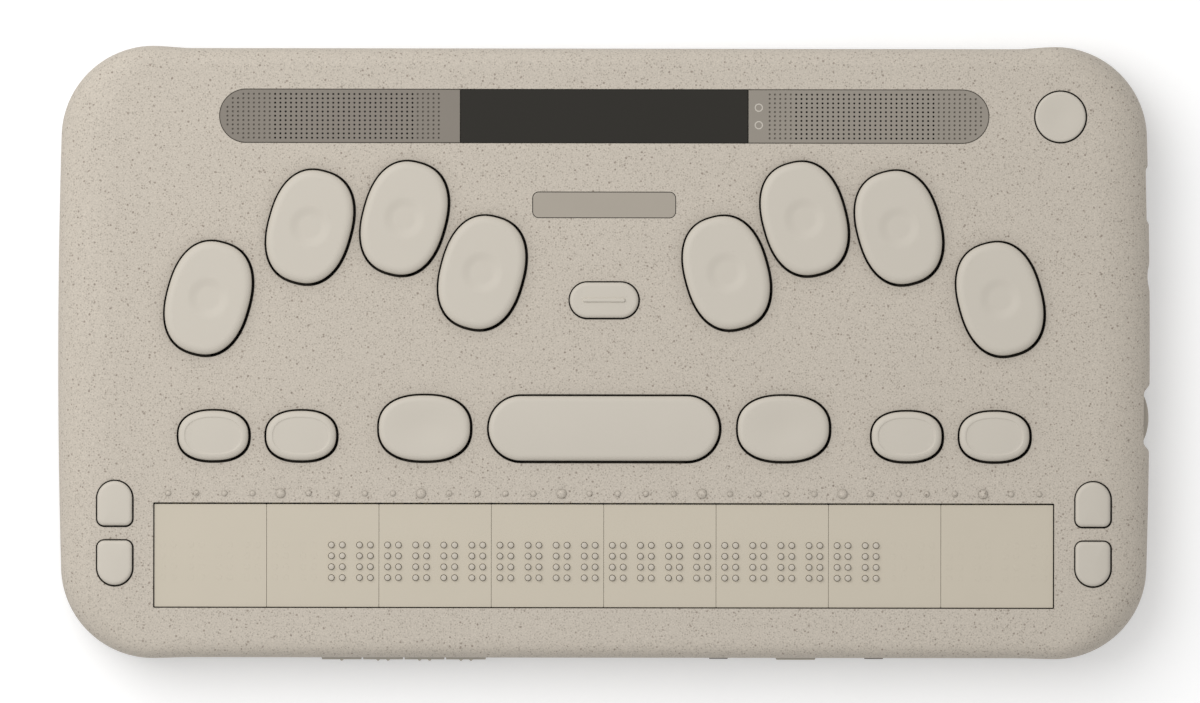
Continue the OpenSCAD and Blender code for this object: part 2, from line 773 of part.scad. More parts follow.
module top_case() {
    color(shell_colour)
        difference() {
            union() {
                difference() {
                    case_loft(lid_levels);
                    case_loft(lining_levels);
                }
                for (p = case_screw_places)
                    translate([p[0], p[1], split_z])
                        cylinder(d = case_boss_d, h = roof_z - split_z + thin);
                for (p = key_screw_places)
                    translate([p[0], p[1], mat_z])
                        cylinder(d = board_boss_d, h = roof_z - mat_z + thin);
                index_bumps();
            }
            key_openings();
            span(
                [-display_w / 2 - cap_clear, display_front, split_z],
                [display_w / 2 + cap_clear, display_back, top_z + over]
            );
            translate([0, strip_y]) {
                prism(stadium(strip_l, strip_d), strip_z, top_z + over);
                prism(stadium(strip_l - 2 * strip_ledge, strip_d - 2 * strip_ledge), split_z, top_z);
            }
            translate([0, plate_y])
                prism(round_box(plate_l, plate_d, plate_r), top_z - plate_t, top_z + over);
            for (p = case_screw_places)
                translate([p[0], p[1], split_z - over])
                    cylinder(d = case_screw_d + 2 * screw_clear, h = case_screw_grip + over + 0.3);
            for (p = key_screw_places)
                translate([p[0], p[1], mat_z - over])
                    cylinder(d = board_screw_d + 2 * screw_clear, h = board_screw_l + over + 0.3);
            end_recesses();
        }
}

// One bump over each cell, larger at every fifth cell
module index_bumps() {
    for (i = [1:cell_count]) {
        big = i % 5 == 0;
        d = big ? index_big_d : index_d;
        rise = d * 0.25;
        ball = (pow(d / 2, 2) + pow(rise, 2)) / (2 * rise);
        translate([cell_x(i), index_y, top_z + rise - ball])
            sphere(r = ball);
    }
}

module bottom_case() {
    color(shell_colour)
        difference() {
            union() {
                difference() {
                    case_loft(tub_levels);
                    case_loft(hollow_levels);
                }
                shell_posts();
                battery_fence();
                rocker_lugs();
            }
            for (p = case_screw_places)
                translate([p[0], p[1], 0]) {
                    cylinder(d = case_head_d + 4 * fit, h = case_head_z + case_head_h);
                    cylinder(d = case_screw_d + 4 * fit, h = split_z + over);
                }
            for (p = main_screw_places)
                translate([p[0], p[1], main_z - board_screw_l + fit])
                    cylinder(d = board_screw_d + 2 * screw_clear, h = board_screw_l);
            for (p = foot_places)
                translate([p[0], p[1], 0])
                    cylinder(d = foot_d + 2 * fit, h = underside_z + foot_sink);
            front_openings();
            end_recesses();
            end_openings();
        }
}

foot_edge = 0.5;
foot_places = [
    for (sx = [-1, 1])
        for (sy = [-1, 1])
            [sx * (half_w - foot_in_x), sy * (half_d - foot_in_y)]
];
main_screw_places = [
    for (x = [main_x[0] + main_rim, main_x[1] - main_far[0]])
        for (y = [main_y[0] + main_rim, main_y[1] - main_far[1]])
            [x, y]
];
post_in = 6;
backplane_posts = [
    for (x = [-0.42, -0.14, 0.14, 0.42])
        for (y = [display_front + post_in, block_y])
            [x * display_w, y]
];

// Bosses for the case screws and posts under the boards
module shell_posts() {
    for (p = case_screw_places)
        translate([p[0], p[1], floor_z - thin])
            cylinder(d = case_boss_d + 2 * boss_rim, h = split_z - floor_z + thin);
    for (p = main_screw_places)
        translate([p[0], p[1], floor_z - thin])
            cylinder(d = board_boss_d, h = main_lift + thin);
    for (p = backplane_posts)
        translate([p[0], p[1], floor_z - thin])
            cylinder(d = board_boss_d, h = backplane_lift + thin);
    post_y = front_board_y + front_board_t + fit;
    for (x = [front_board_x[0] + front_post_in, front_board_x[1] - front_post_in])
        span(
            [x - front_post[0] / 2, post_y, floor_z - thin],
            [x + front_post[0] / 2, post_y + front_post[1], split_z - front_post_drop]
        );
}

// Ribs that keep the battery in place
module battery_fence() {
    high = floor_z + battery_h * 0.6;
    for (y = [battery_y - fence_t - fit, battery_y + battery_w + fit])
        span(
            [battery_x + fence_in, y, floor_z - thin],
            [battery_x + battery_l - fence_in, y + fence_t, high]
        );
    for (x = [battery_x - fence_t - fit, battery_x + battery_l + fit])
        span(
            [x, battery_y + fence_side[0], floor_z - thin],
            [x + fence_t, battery_y + fence_side[1], high]
        );
}

// Lugs above and below the opening for the volume rocker, which hold its pivot
module rocker_lugs() {
    room = control_h / 2 + control_gap;
    for (z = [control_z - room - lug_t, control_z + room])
        difference() {
            span(
                [rocker_in_x, rocker_y - lug_l / 2, z],
                [half_w - wall + side_bulge + lug_lap, rocker_y + lug_l / 2, z + lug_t]
            );
            translate([pivot_x, rocker_y, z - over])
                cylinder(d = pivot_d + 2 * fit, h = lug_t + 2 * over);
        }
}

// Slots in the front wall
module front_openings() {
    low = control_z - control_h / 2 - control_gap;
    high = control_z + control_h / 2 + control_gap;
    media_half = 1.5 * media_pitch + media_w / 2 + control_gap;
    span([media_x - media_half, front_out_y - over, low], [media_x + media_half, front_in_y + over, high]);
    button_half = media_w / 2 + control_gap;
    span(
        [front_button_x - button_half, front_out_y - over, low],
        [front_button_x + button_half, front_in_y + over, high]
    );
    slot_half = slider_w / 2 + slider_travel + control_gap;
    for (x = slider_x)
        span(
            [x - slot_half, front_out_y - over, low + slider_trim],
            [x + slot_half, front_in_y + over, high - slider_trim]
        );
}

// Openings for the ports and the volume rocker
module end_openings() {
    in_x = half_w - wall - over;
    out_x = half_w + side_bulge + over;
    span(
        [in_x, usb_a_y - usb_a[1] / 2 - fit, main_top_z - fit],
        [out_x, usb_a_y + usb_a[1] / 2 + fit, main_top_z + usb_a[2] + fit]
    );
    translate([in_x, jack_y, jack_z])
        rotate([0, 90, 0])
            cylinder(d = jack_nose_d + 2 * fit, h = out_x - in_x);
    translate([usb_c_x, half_d, main_top_z + usb_c[2] / 2])
        rotate([90, 0, 0])
            linear_extrude(wall + edge_dip + over)
                polygon(stadium(usb_c[0] + 2 * fit, usb_c[2] + 2 * fit));
    rocker_half = [rocker_l / 2 + rocker_side, control_h / 2 + control_gap];
    span(
        [in_x, rocker_y - rocker_half[0], control_z - rocker_half[1]],
        [out_x, rocker_y + rocker_half[0], control_z + rocker_half[1]]
    );
}

// Perforated plates to the left and right of the window
module speaker_grilles() {
    color(grille_colour)
        for (s = [-1, 1])
            translate([0, strip_y, strip_z])
                linear_extrude(strip_t)
                    difference() {
                        intersection() {
                            polygon(stadium(strip_l - 2 * fit, strip_d - 2 * fit));
                            translate([s * (window_l + strip_l) / 4, 0])
                                square([(strip_l - window_l) / 2 - fit, strip_d], center = true);
                        }
                        grille_holes(s);
                        if (s > 0)
                            for (t = [-1, 1])
                                translate([light_x, t * light_pitch / 2])
                                    circle(d = light_d + 2 * fit);
                    }
}

// Rows of holes that stay clear of the edge of the plate
module grille_holes(side) {
    first = window_l / 2 + hole_start;
    columns = floor((strip_l / 2 - first) / hole_pitch_x);
    reach = strip_d / 2 - hole_rim;
    rows = floor(reach / hole_pitch_y);
    end = (strip_l - strip_d) / 2;
    for (i = [0:columns])
        for (j = [-rows:rows]) {
            x = first + i * hole_pitch_x;
            y = j * hole_pitch_y;
            if (x < end || norm([x - end, y]) < reach)
                translate([side * x, y])
                    circle(d = hole_d, $fn = 16);
        }
}

module lcd_window() {
    color(dark_colour)
        span(
            [-window_l / 2 + fit, strip_y - strip_d / 2 + fit, strip_z],
            [window_l / 2 - fit, strip_y + strip_d / 2 - fit, top_z]
        );
}

// Text panel clipped under the roof, with its glass raised into the opening
module lcd_panel() {
    glass = [window_l - 2 * glass_rim, strip_d - 2 * strip_ledge - 4 * fit];
    color(dark_colour) {
        span(
            [-window_l / 2 - panel_rim[0], strip_y - strip_d / 2 - panel_rim[1], roof_z - panel_t],
            [window_l / 2 + panel_rim[0], strip_y + strip_d / 2 + panel_rim[1], roof_z]
        );
        span(
            [-glass[0] / 2, strip_y - glass[1] / 2, roof_z - thin],
            [glass[0] / 2, strip_y + glass[1] / 2, strip_z - rest_clear]
        );
    }
}

module status_lights() {
    color(key_colour)
        for (t = [-1, 1])
            translate([light_x, strip_y + t * light_pitch / 2, strip_z])
                cylinder(d = light_d, h = strip_t);
}

module nameplate() {
    color(grille_colour)
        translate([0, plate_y])
            prism(round_box(plate_l - 2 * fit, plate_d - 2 * fit, plate_r - fit), top_z - plate_t, top_z);
}

// Key cap with a rounded upper edge, standing on the tabs' level
module soft_cap(outline, rise) {
    high = top_z + rise;
    loft(concat(
        [ring_at(outline(0), tab_z)],
        [for (a = [0:30:90])
            ring_at(outline(key_edge * (1 - cos(a))), high - key_edge * (1 - sin(a)))]
    ));
}

// Tabs that keep the key under the case and stems that stand on the domes
module key_foot(tabs, stems = [[0, 0]]) {
    translate([-tabs[0] / 2, -tabs[1] / 2, tab_z])
        cube([tabs[0], tabs[1], tab_t]);
    for (p = stems)
        translate([p[0], p[1], dome_z])
            cylinder(d = stem_d, h = stem_l + thin);
}

// Ball that leaves a dish of a given diameter in the top of a key
module dish(d, rise) {
    ball = (pow(d / 2, 2) + pow(dish_depth, 2)) / (2 * dish_depth);
    translate([0, 0, top_z + rise + ball - dish_depth])
        sphere(r = ball, $fn = 96);
}

module dot_key(i) {
    place = dot_places[i - 1];
    color(key_colour)
        translate(place)
            rotate(place[0] < 0 ? -dot_key_tilt : dot_key_tilt)
                difference() {
                    union() {
                        soft_cap(dot_outline, dot_key_rise);
                        key_foot([dot_tab_w, dot_key_l + 2 * (key_gap + tab_reach)]);
                    }
                    dish(dimple_d, dot_key_rise);
                }
}

module space_bar() {
    color(key_colour)
        translate([0, space_y]) {
            soft_cap(space_outline, key_rise);
            key_foot([space_l * 0.7, space_d + 2 * (key_gap + tab_reach)], space_stems);
        }
}

// Backspace on the left and enter on the right, both with a dished top
module edit_key(side) {
    color(key_colour)
        translate([side * edit_x, edit_y])
            difference() {
                union() {
                    soft_cap(edit_outline, key_rise);
                    key_foot([edit_l * 0.5, edit_d + 2 * (key_gap + tab_reach)]);
                }
                dish(edit_d - 2 * key_edge, key_rise);
            }
}

// Function key with a shallow pad inside its rim
module function_key(i) {
    color(key_colour)
        translate(func_places[i - 1])
            difference() {
                union() {
                    soft_cap(func_outline, key_rise);
                    key_foot([func_l * 0.5, func_d + 2 * (key_gap + tab_reach)]);
                }
                prism(func_outline(pad_rim), top_z + key_rise - pad_depth, top_z + key_rise + over);
            }
}

module home_key() {
    color(key_colour)
        translate([0, home_y]) {
            soft_cap(home_outline, low_rise);
            key_foot([home_l + 2 * (key_gap + tab_reach), home_d * 0.6]);
            prism(stadium(home_bar_l, home_bar_w), top_z + low_rise - thin, top_z + low_rise + home_bar_h);
        }
}

module scroll_key(i) {
    color(key_colour)
        translate(scroll_places[i])
            rotate(i % 2 == 0 ? 0 : 180) {
                soft_cap(scroll_outline, low_rise);
                key_foot([scroll_w * 0.5, scroll_l + 2 * (key_gap + tab_reach)]);
            }
}

module power_button() {
    color(key_colour)
        translate([power_x, strip_y]) {
            translate([0, 0, tab_z])
                cylinder(d = power_d, h = top_z + power_rise - tab_z);
            key_foot([power_d + 2 * (key_gap + tab_reach), power_d * 0.5]);
        }
}

// Front edge button with tabs behind the wall, a plunger and a number of tactile nubs
module edge_button(x, nubs) {
    tab_y = front_in_y + control_gap;
    color(key_colour)
        translate([x, 0, control_z]) {
            span(
                [-media_w / 2, front_out_y - control_out, -control_h / 2],
                [media_w / 2, tab_y + control_tab_t, control_h / 2]
            );
            span(
                [-media_w / 2, tab_y, -control_h / 2 - control_gap - control_tab],
                [media_w / 2, tab_y + control_tab_t, control_h / 2 + control_gap + control_tab]
            );
            span(
                [-plunger[0] / 2, tab_y, -plunger[1] / 2],
                [plunger[0] / 2, front_board_y - switch_t - board_gap, plunger[1] / 2]
            );
            for (k = [0:1:nubs - 1])
                translate([(k - (nubs - 1) / 2) * nub_pitch, front_out_y - control_out, 0])
                    sphere(d = nub_d);
        }
}

// Slide switch knob with a runner behind the wall and a fork to its switch
module slide_knob(x) {
    run_y = front_in_y + control_gap;
    low = control_h / 2 - slider_trim;
    half = slider_w / 2;
    color(dark_colour)
        translate([x, 0, control_z]) {
            span(
                [-half, front_out_y - control_out + slider_back, -low],
                [half, run_y + control_tab_t, low]
            );
            span(
                [-half - slider_runner, run_y, -low - control_gap - control_tab],
                [half + slider_runner, run_y + control_tab_t, low + control_gap + control_tab]
            );
            span(
                [-slider_fork[0] / 2, run_y, -slider_fork[1] / 2],
                [slider_fork[0] / 2, front_board_y - switch_t - 2 * fit, slider_fork[1] / 2]
            );
        }
}

// Rocker with a bulged face, turning on an upright pivot
module volume_rocker() {
    color(key_colour)
        translate([0, rocker_y, control_z]) {
            translate([0, 0, -control_h / 2])
                linear_extrude(control_h)
                    intersection() {
                        translate([rocker_x - rocker_r, 0])
                            circle(r = rocker_r, $fn = 96);
                        translate([rocker_in_x, -rocker_l / 2])
                            square([rocker_x - rocker_in_x, rocker_l]);
                    }
            translate([pivot_x, 0, -control_h / 2 - control_gap - lug_t])
                cylinder(d = pivot_d, h = control_h + 2 * (control_gap + lug_t));
        }
}

function cell_x(i) = (i - (cell_count + 1) / 2) * cell_pitch;
function row_of(k) = first_row_y - k * dot_pitch;
function reed_level(k) = reed_z + (dot_rows - 1 - k) * reed_step;

// Holes for the pins of one module, whose first cell is given
module pin_holes(first, from, to) {
    for (i = [first:first + module_cells - 1])
        for (c = [-1, 1])
            for (k = [0:dot_rows - 1])
                translate([cell_x(i) + c * dot_pitch / 2, row_of(k), from])
                    cylinder(d = pin_d + 2 * pin_clear, h = to - from, $fn = 24);
}

function module_x(m) = (m - (module_count + 1) / 2) * module_w;

module braille_caps() {
    color(cap_colour)
        for (m = [1:module_count])
            difference() {
                span(
                    [module_x(m) - (module_w - cap_seam) / 2, display_front + cap_clear, cap_z],
                    [module_x(m) + (module_w - cap_seam) / 2, display_back - cap_clear, cap_top_z]
                );
                pin_holes((m - 1) * module_cells + 1, cap_z - over, cap_top_z + over);
            }
}

// Pin from the reed of its row up to the cap plate, with a rounded tip
module braille_pin(bottom, top) {
    ball = (pow(pin_d / 2, 2) + pow(tip_h, 2)) / (2 * tip_h);
    shaft = top - bottom - tip_h;
    translate([0, 0, bottom])
        rotate_extrude($fn = 24) {
            square([pin_d / 2, shaft]);
            intersection() {
                translate([0, shaft])
                    square([pin_d / 2, tip_h]);
                translate([0, top - bottom - ball])
                    circle(r = ball);
            }
        }
}

module pins(first, last, lift) {
    color(cap_colour)
        for (i = [first:1:last])
            for (c = [-1, 1])
                for (k = [0:dot_rows - 1])
                    translate([cell_x(i) + c * dot_pitch / 2, row_of(k), lift])
                        braille_pin(reed_level(k) + reed_t + rest_clear, cap_top_z);
}

module raised_pins(run) {
    first = first_raised + (run - 1) * run_cells;
    pins(first, min(first + run_cells - 1, last_raised), dot_rise);
}

// Module housing: walls around the pins, a guide plate and an open way for the reeds
module braille_frames() {
    low = backplane_z + backplane_t;
    color(dark_colour)
        for (m = [1:module_count]) {
            half = (module_w - cap_seam) / 2;
            front = display_front + cap_clear;
            back = display_back - cap_clear;
            difference() {
                translate([module_x(m), 0, 0])
                    difference() {
                        span([-half, front, low], [half, back, cap_z]);
                        span(
                            [frame_wall - half, front + frame_wall, low - over],
                            [half - frame_wall, back - frame_wall, guide_z]
                        );
                        span(
                            [frame_wall - half, front + frame_wall, guide_z + guide_t],
                            [half - frame_wall, back - frame_wall, cap_z + over]
                        );
                        span(
                            [frame_wall - half, back - over - frame_wall, low - over],
                            [half - frame_wall, back + over, board_z]
                        );
                    }
                pin_holes((m - 1) * module_cells + 1, guide_z - over, guide_z + guide_t + over);
            }
        }
}

// Reeds of one module in their terminal block, bent up under the raised pins
module braille_reeds() {
    low = backplane_z + backplane_t;
    half = module_w / 2 - cap_seam / 2 - frame_wall - reed_clear;
    color(metal_colour)
        for (m = [1:module_count]) {
            span(
                [module_x(m) - half, block_y, low],
                [module_x(m) + half, block_y + block_d, reed_z + reed_stack + block_over]
            );
            for (i = [(m - 1) * module_cells + 1:m * module_cells])
                for (c = [-1, 1])
                    for (k = [0:dot_rows - 1])
                        piezo_reed(i, c, k);
        }
}

module piezo_reed(i, c, k) {
    root_y = block_y + reed_root;
    run = root_y - row_of(k);
    raised = i >= first_raised && i <= last_raised;
    bend = raised ? asin(dot_rise / run) : 0;
    translate([cell_x(i) + c * dot_pitch / 2, root_y, reed_level(k)])
        rotate([-bend, 0, 0])
            translate([-reed_w / 2, -run - reed_over, 0])
                cube([reed_w, run + reed_over, reed_t]);
}

module braille_backplane() {
    color(board_colour)
        span(
            [-display_w / 2, display_front, backplane_z],
            [display_w / 2, backplane_back, backplane_z + backplane_t]
        );
}

// Outline of the key board and of the rubber sheet on it
module board_outline(inset) {
    difference() {
        union() {
            translate([0, (board_front + board_back) / 2])
                square([2 * (board_x - inset), board_back - board_front - 2 * inset], center = true);
            for (s = [0, 1])
                mirror([s, 0, 0]) {
                    translate([board_x - wing_lap, board_front + inset])
                        square([
                            wing_x[1] - board_x + wing_lap - inset,
                            outer_key_y - board_front - 2 * inset
                        ]);
                    translate([wing_x[0] + inset, wing_front + inset])
                        square([wing_x[1] - wing_x[0] - 2 * inset, board_front - wing_front + over]);
                }
            translate([power_wing_x, board_back - wing_lap])
                square([
                    power_wing[0] - power_wing_x - inset,
                    power_wing[1] - board_back + wing_lap - inset
                ]);
        }
        for (p = case_screw_places)
            translate(p)
                circle(d = case_boss_d + 2);
        children();
    }
}

// Board under the keys, with the two switches behind the volume rocker below its wing
module key_board() {
    color(board_colour)
        translate([0, 0, board_z])
            linear_extrude(board_t)
                board_outline(0)
                    for (p = key_screw_places)
                        translate(p)
                            circle(d = board_screw_d + 4 * fit);
    color(metal_colour)
        for (s = [-1, 1])
            translate([
                wing_x[1] - rocker_switch[0] - switch_inset,
                rocker_y + s * rocker_l * 0.3 - rocker_switch[1] / 2,
                board_z - rocker_switch[2]
            ])
                cube(rocker_switch);
}

// Sheet with a hollow dome under each key
module silicone_keymat() {
    color(rubber_colour)
        difference() {
            union() {
                translate([0, 0, mat_z])
                    linear_extrude(mat_t)
                        board_outline(1)
                            for (p = key_screw_places)
                                translate(p)
                                    circle(d = board_boss_d + 1);
                for (p = dome_places)
                    translate([p[0], p[1], sheet_z - thin])
                        cylinder(d1 = dome_d, d2 = stem_d, h = dome_h + thin);
            }
            for (p = dome_places)
                translate([p[0], p[1], mat_z - over])
                    cylinder(
                        d1 = dome_d - 2 * dome_skin,
                        d2 = stem_d - 2 * dome_crown,
                        h = mat_t + dome_h - dome_crown + over
                    );
        }
}

// Upright board with a switch behind each control on the front edge
module front_board() {
    color(board_colour)
        span(
            [front_board_x[0], front_board_y, floor_z],
            [front_board_x[1], front_board_y + front_board_t, split_z - front_board_drop]
        );
    color(metal_colour)
        for (x = concat(front_button_places, [front_button_x], slider_x))
            span(
                [x - front_switch[0] / 2, front_board_y - switch_t, control_z - front_switch[1] / 2],
                [x + front_switch[0] / 2, front_board_y, control_z + front_switch[1] / 2]
            );
}

// Processor board cut to the inside of the case and around the screw bosses
module main_board() {
    color(board_colour)
        translate([0, 0, main_z])
            linear_extrude(main_t)
                difference() {
                    intersection() {
                        translate([main_x[0], main_y[0]])
                            square([main_x[1] - main_x[0], main_y[1] - main_y[0]]);
                        polygon(case_ring(wall + belly_x * 0.6, wall + belly_y * 0.6));
                    }
                    for (p = case_screw_places)
                        translate(p)
                            circle(d = case_boss_d + 2);
                    for (p = main_screw_places)
                        translate(p)
                            circle(d = board_screw_d + 4 * fit);
                }
    color(metal_colour)
        for (c = chips)
            translate([main_x[0] + c[0] - c[2] / 2, main_y[0] + c[1] - c[3] / 2, main_top_z])
                cube([c[2], c[3], c[4]]);
}

module battery_pack() {
    color(dark_colour)
        translate([battery_x + battery_l / 2, battery_y + battery_w / 2])
            prism(round_box(battery_l, battery_w, battery_r), floor_z, floor_z + battery_h);
}

// Speakers seated against the roof under the perforated plates
module speakers() {
    color(rubber_colour)
        for (s = [-1, 1])
            translate([s * speaker_x, strip_y, 0])
                difference() {
                    prism(round_box(speaker_l, speaker_d, speaker_r), roof_z - speaker_h, roof_z);
                    prism(
                        round_box(
                            speaker_l - 2 * speaker_rim,
                            speaker_d - 2 * speaker_rim,
                            speaker_r - 1
                        ),
                        roof_z - cone_depth,
                        roof_z + over
                    );
                }
}

// Metal shell with a tongue, open towards the right end
module usb_a_port() {
    mouth = end_x(usb_a_y) - usb_recess;
    color(metal_colour)
        translate([mouth - usb_a[0], usb_a_y, main_top_z]) {
            difference() {
                span([0, -usb_a[1] / 2, 0], [usb_a[0], usb_a[1] / 2, usb_a[2]]);
                span(
                    [usb_a_back, usb_skin - usb_a[1] / 2, usb_skin],
                    [usb_a[0] + over, usb_a[1] / 2 - usb_skin, usb_a[2] - usb_skin]
                );
            }
            span(
                [usb_a_back / 2, -usb_a_tongue[0] / 2, usb_a[2] - tongue_gap - usb_a_tongue[1]],
                [usb_a[0] - tongue_gap, usb_a_tongue[0] / 2, usb_a[2] - tongue_gap]
            );
        }
}

// Oval metal shell with a tongue, open towards the back
module usb_c_port() {
    mouth = half_d - edge_dip - usb_c_recess;
    color(metal_colour)
        translate([usb_c_x, mouth, main_top_z + usb_c[2] / 2])
            rotate([90, 0, 0]) {
                difference() {
                    linear_extrude(usb_c[1])
                        polygon(stadium(usb_c[0], usb_c[2]));
                    translate([0, 0, -over])
                        linear_extrude(usb_c[1] - usb_c_back + over)
                            polygon(stadium(usb_c[0] - 2 * usb_skin, usb_c[2] - 2 * usb_skin));
                }
                span(
                    [-usb_c_tongue[0] / 2, -usb_c_tongue[1] / 2, tongue_gap],
                    [usb_c_tongue[0] / 2, usb_c_tongue[1] / 2, usb_c[1] - usb_c_back / 2]
                );
            }
}

// Jack body with a round nose through the wall
module headphone_jack() {
    mouth = end_x(jack_y) - jack_recess;
    body_end = half_w - wall - jack_gap;
    color(rubber_colour)
        translate([0, jack_y, jack_z])
            difference() {
                union() {
                    span(
                        [body_end - jack[0], -jack[1] / 2, -jack[2] / 2],
                        [body_end, jack[1] / 2, jack[2] / 2]
                    );
                    translate([body_end - thin, 0, 0])
                        rotate([0, 90, 0])
                            cylinder(d = jack_nose_d, h = mouth - body_end + thin);
                }
                translate([body_end - jack[0] + jack_back, 0, 0])
                    rotate([0, 90, 0])
                        cylinder(d = jack_bore_d, h = mouth - body_end + jack[0]);
            }
}

// Flat cables between the boards, each folded from straight runs
module ribbon_cables() {
    t = ribbon_t;
    low = main_top_z;
    key_y = main_y[0] + main_rim;
    key_w = key_cable[1];
    plane_w = plane_cable[1];
    plane_z = backplane_z + backplane_t;
    step_z = max(plane_z, low);
    step_y = backplane_back - t;
    panel_z = roof_z - panel_t;
    front_y = front_board_y + front_board_t;
    drop_y = display_front + cable_lap;
    lead_x = battery_x + battery_l;
    lead_z = low + lead_rise;
    lead_end = main_x[0] + main_rim;
    color(rubber_colour) {
        translate([main_x[0] + key_cable[0], 0, 0]) {
            span([0, key_y, board_z - t], [key_w, key_y + cable_tail, board_z]);
            span([0, key_y, low], [key_w, key_y + t, board_z]);
            span([0, key_y, low], [key_w, key_y + cable_tail, low + t]);
        }
        translate([main_x[0] + plane_cable[0], 0, 0]) {
            span([0, block_y + block_d + fit, plane_z], [plane_w, backplane_back, plane_z + t]);
            span([0, step_y, plane_z], [plane_w, backplane_back, step_z + t]);
            span([0, step_y, step_z], [plane_w, key_y, step_z + t]);
        }
        translate([window_l / 2 - panel_cable_w - cable_lap, strip_y, 0]) {
            span([0, -cable_fold, panel_z - t], [panel_cable_w, 0, panel_z]);
            span([0, -t, low], [panel_cable_w, 0, panel_z]);
            span([0, -cable_fold, low], [panel_cable_w, 0, low + t]);
        }
        translate([-front_cable_w / 2, 0, floor_z + cable_lift]) {
            span([0, front_y, 0], [front_cable_w, front_y + t, cable_fold]);
            span([0, front_y, 0], [front_cable_w, drop_y, t]);
            span([0, drop_y - t, 0], [front_cable_w, drop_y, backplane_lift - cable_lift]);
        }
        translate([0, battery_y + battery_w * 0.6, 0]) {
            span([lead_x, 0, lead_z], [lead_end, lead_w, lead_z + t]);
            span([lead_end - t, 0, low], [lead_end, lead_w, lead_z]);
        }
    }
}

module rubber_feet() {
    color(rubber_colour)
        for (p = foot_places)
            translate([p[0], p[1], 0]) {
                cylinder(d1 = foot_d - 2 * foot_edge, d2 = foot_d, h = foot_edge);
                translate([0, 0, foot_edge - thin])
                    cylinder(d = foot_d, h = underside_z + foot_sink - foot_edge + thin);
            }
}

module case_screws() {
    color(metal_colour)
        for (p = case_screw_places)
            translate([p[0], p[1], case_head_z])
                difference() {
                    union() {
                        cylinder(d = case_head_d, h = case_head_h);
                        cylinder(d = case_screw_d, h = split_z + case_screw_grip - case_head_z);
                    }
                    translate([0, 0, -over])
                        cylinder(d = drive_d, h = over + drive_h, $fn = 6);
                }
}

// Screws up into the roof for the key board and down into the floor for the main board
module board_screws() {
    color(metal_colour) {
        for (p = key_screw_places)
            translate([p[0], p[1], board_z])
                board_screw(board_t + board_screw_l);
        for (p = main_screw_places)
            translate([p[0], p[1], main_top_z])
                mirror([0, 0, 1])
                    board_screw(main_t + board_screw_l - 2 * fit);
    }
}

module board_screw(l) {
    translate([0, 0, -board_head_h])
        cylinder(d = board_head_d, h = board_head_h);
    translate([0, 0, -thin])
        cylinder(d = board_screw_d, h = l + thin);
}

top_case();
bottom_case();
speaker_grilles();
lcd_window();
lcd_panel();
status_lights();
nameplate();
for (i = [1:8]) dot_key(i);
space_bar();
edit_key(-1);  // backspace_key
edit_key(1);  // enter_key
for (i = [1:4]) function_key(i);
home_key();
scroll_key(0);  // left_scroll_up
scroll_key(1);  // left_scroll_down
scroll_key(2);  // right_scroll_up
scroll_key(3);  // right_scroll_down
power_button();
for (i = [1:4])
    edge_button(front_button_places[i - 1], i == 1 ? 1 : 2);
edge_button(front_button_x, 0);  // front_button
slide_knob(slider_x[0]);  // lock_switch_knob
slide_knob(slider_x[1]);  // mode_switch_knob
volume_rocker();
braille_caps();
for (i = [1:raised_runs]) raised_pins(i);
pins(1, first_raised - 1, 0);  // lowered_pins_left
pins(last_raised + 1, cell_count, 0);  // lowered_pins_right
braille_frames();
braille_reeds();
braille_backplane();
key_board();
silicone_keymat();
front_board();
main_board();
battery_pack();
speakers();
usb_a_port();
usb_c_port();
headphone_jack();
ribbon_cables();
rubber_feet();
case_screws();
board_screws();
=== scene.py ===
"""Looks of a portable braille notetaker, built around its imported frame. Sizes are in mm."""

import json
import math

import bmesh
import bpy
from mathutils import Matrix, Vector
from mathutils.geometry import delaunay_2d_cdt

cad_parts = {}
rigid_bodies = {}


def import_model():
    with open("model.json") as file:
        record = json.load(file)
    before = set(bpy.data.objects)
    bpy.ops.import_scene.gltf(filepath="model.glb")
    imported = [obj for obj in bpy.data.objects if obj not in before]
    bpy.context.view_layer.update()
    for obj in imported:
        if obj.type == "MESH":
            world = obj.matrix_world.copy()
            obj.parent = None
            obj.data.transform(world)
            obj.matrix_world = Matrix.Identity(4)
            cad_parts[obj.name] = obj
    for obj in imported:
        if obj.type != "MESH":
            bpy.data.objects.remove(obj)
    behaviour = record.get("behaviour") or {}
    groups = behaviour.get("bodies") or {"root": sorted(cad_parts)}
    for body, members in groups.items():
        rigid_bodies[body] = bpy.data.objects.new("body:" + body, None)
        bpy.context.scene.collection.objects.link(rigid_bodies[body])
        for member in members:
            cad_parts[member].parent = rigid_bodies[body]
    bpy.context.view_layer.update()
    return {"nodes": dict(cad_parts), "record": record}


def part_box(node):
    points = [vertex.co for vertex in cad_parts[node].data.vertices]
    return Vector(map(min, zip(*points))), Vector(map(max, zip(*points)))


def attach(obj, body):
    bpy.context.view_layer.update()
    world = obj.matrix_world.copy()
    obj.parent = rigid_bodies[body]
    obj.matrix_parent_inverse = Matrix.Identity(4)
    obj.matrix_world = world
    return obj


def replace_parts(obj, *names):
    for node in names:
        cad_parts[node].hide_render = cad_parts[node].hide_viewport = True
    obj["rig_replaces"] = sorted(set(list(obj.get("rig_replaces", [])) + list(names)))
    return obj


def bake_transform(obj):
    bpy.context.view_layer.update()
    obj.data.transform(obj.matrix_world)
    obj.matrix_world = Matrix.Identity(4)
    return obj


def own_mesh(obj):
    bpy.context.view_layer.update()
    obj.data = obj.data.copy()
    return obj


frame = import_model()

MM = 0.001

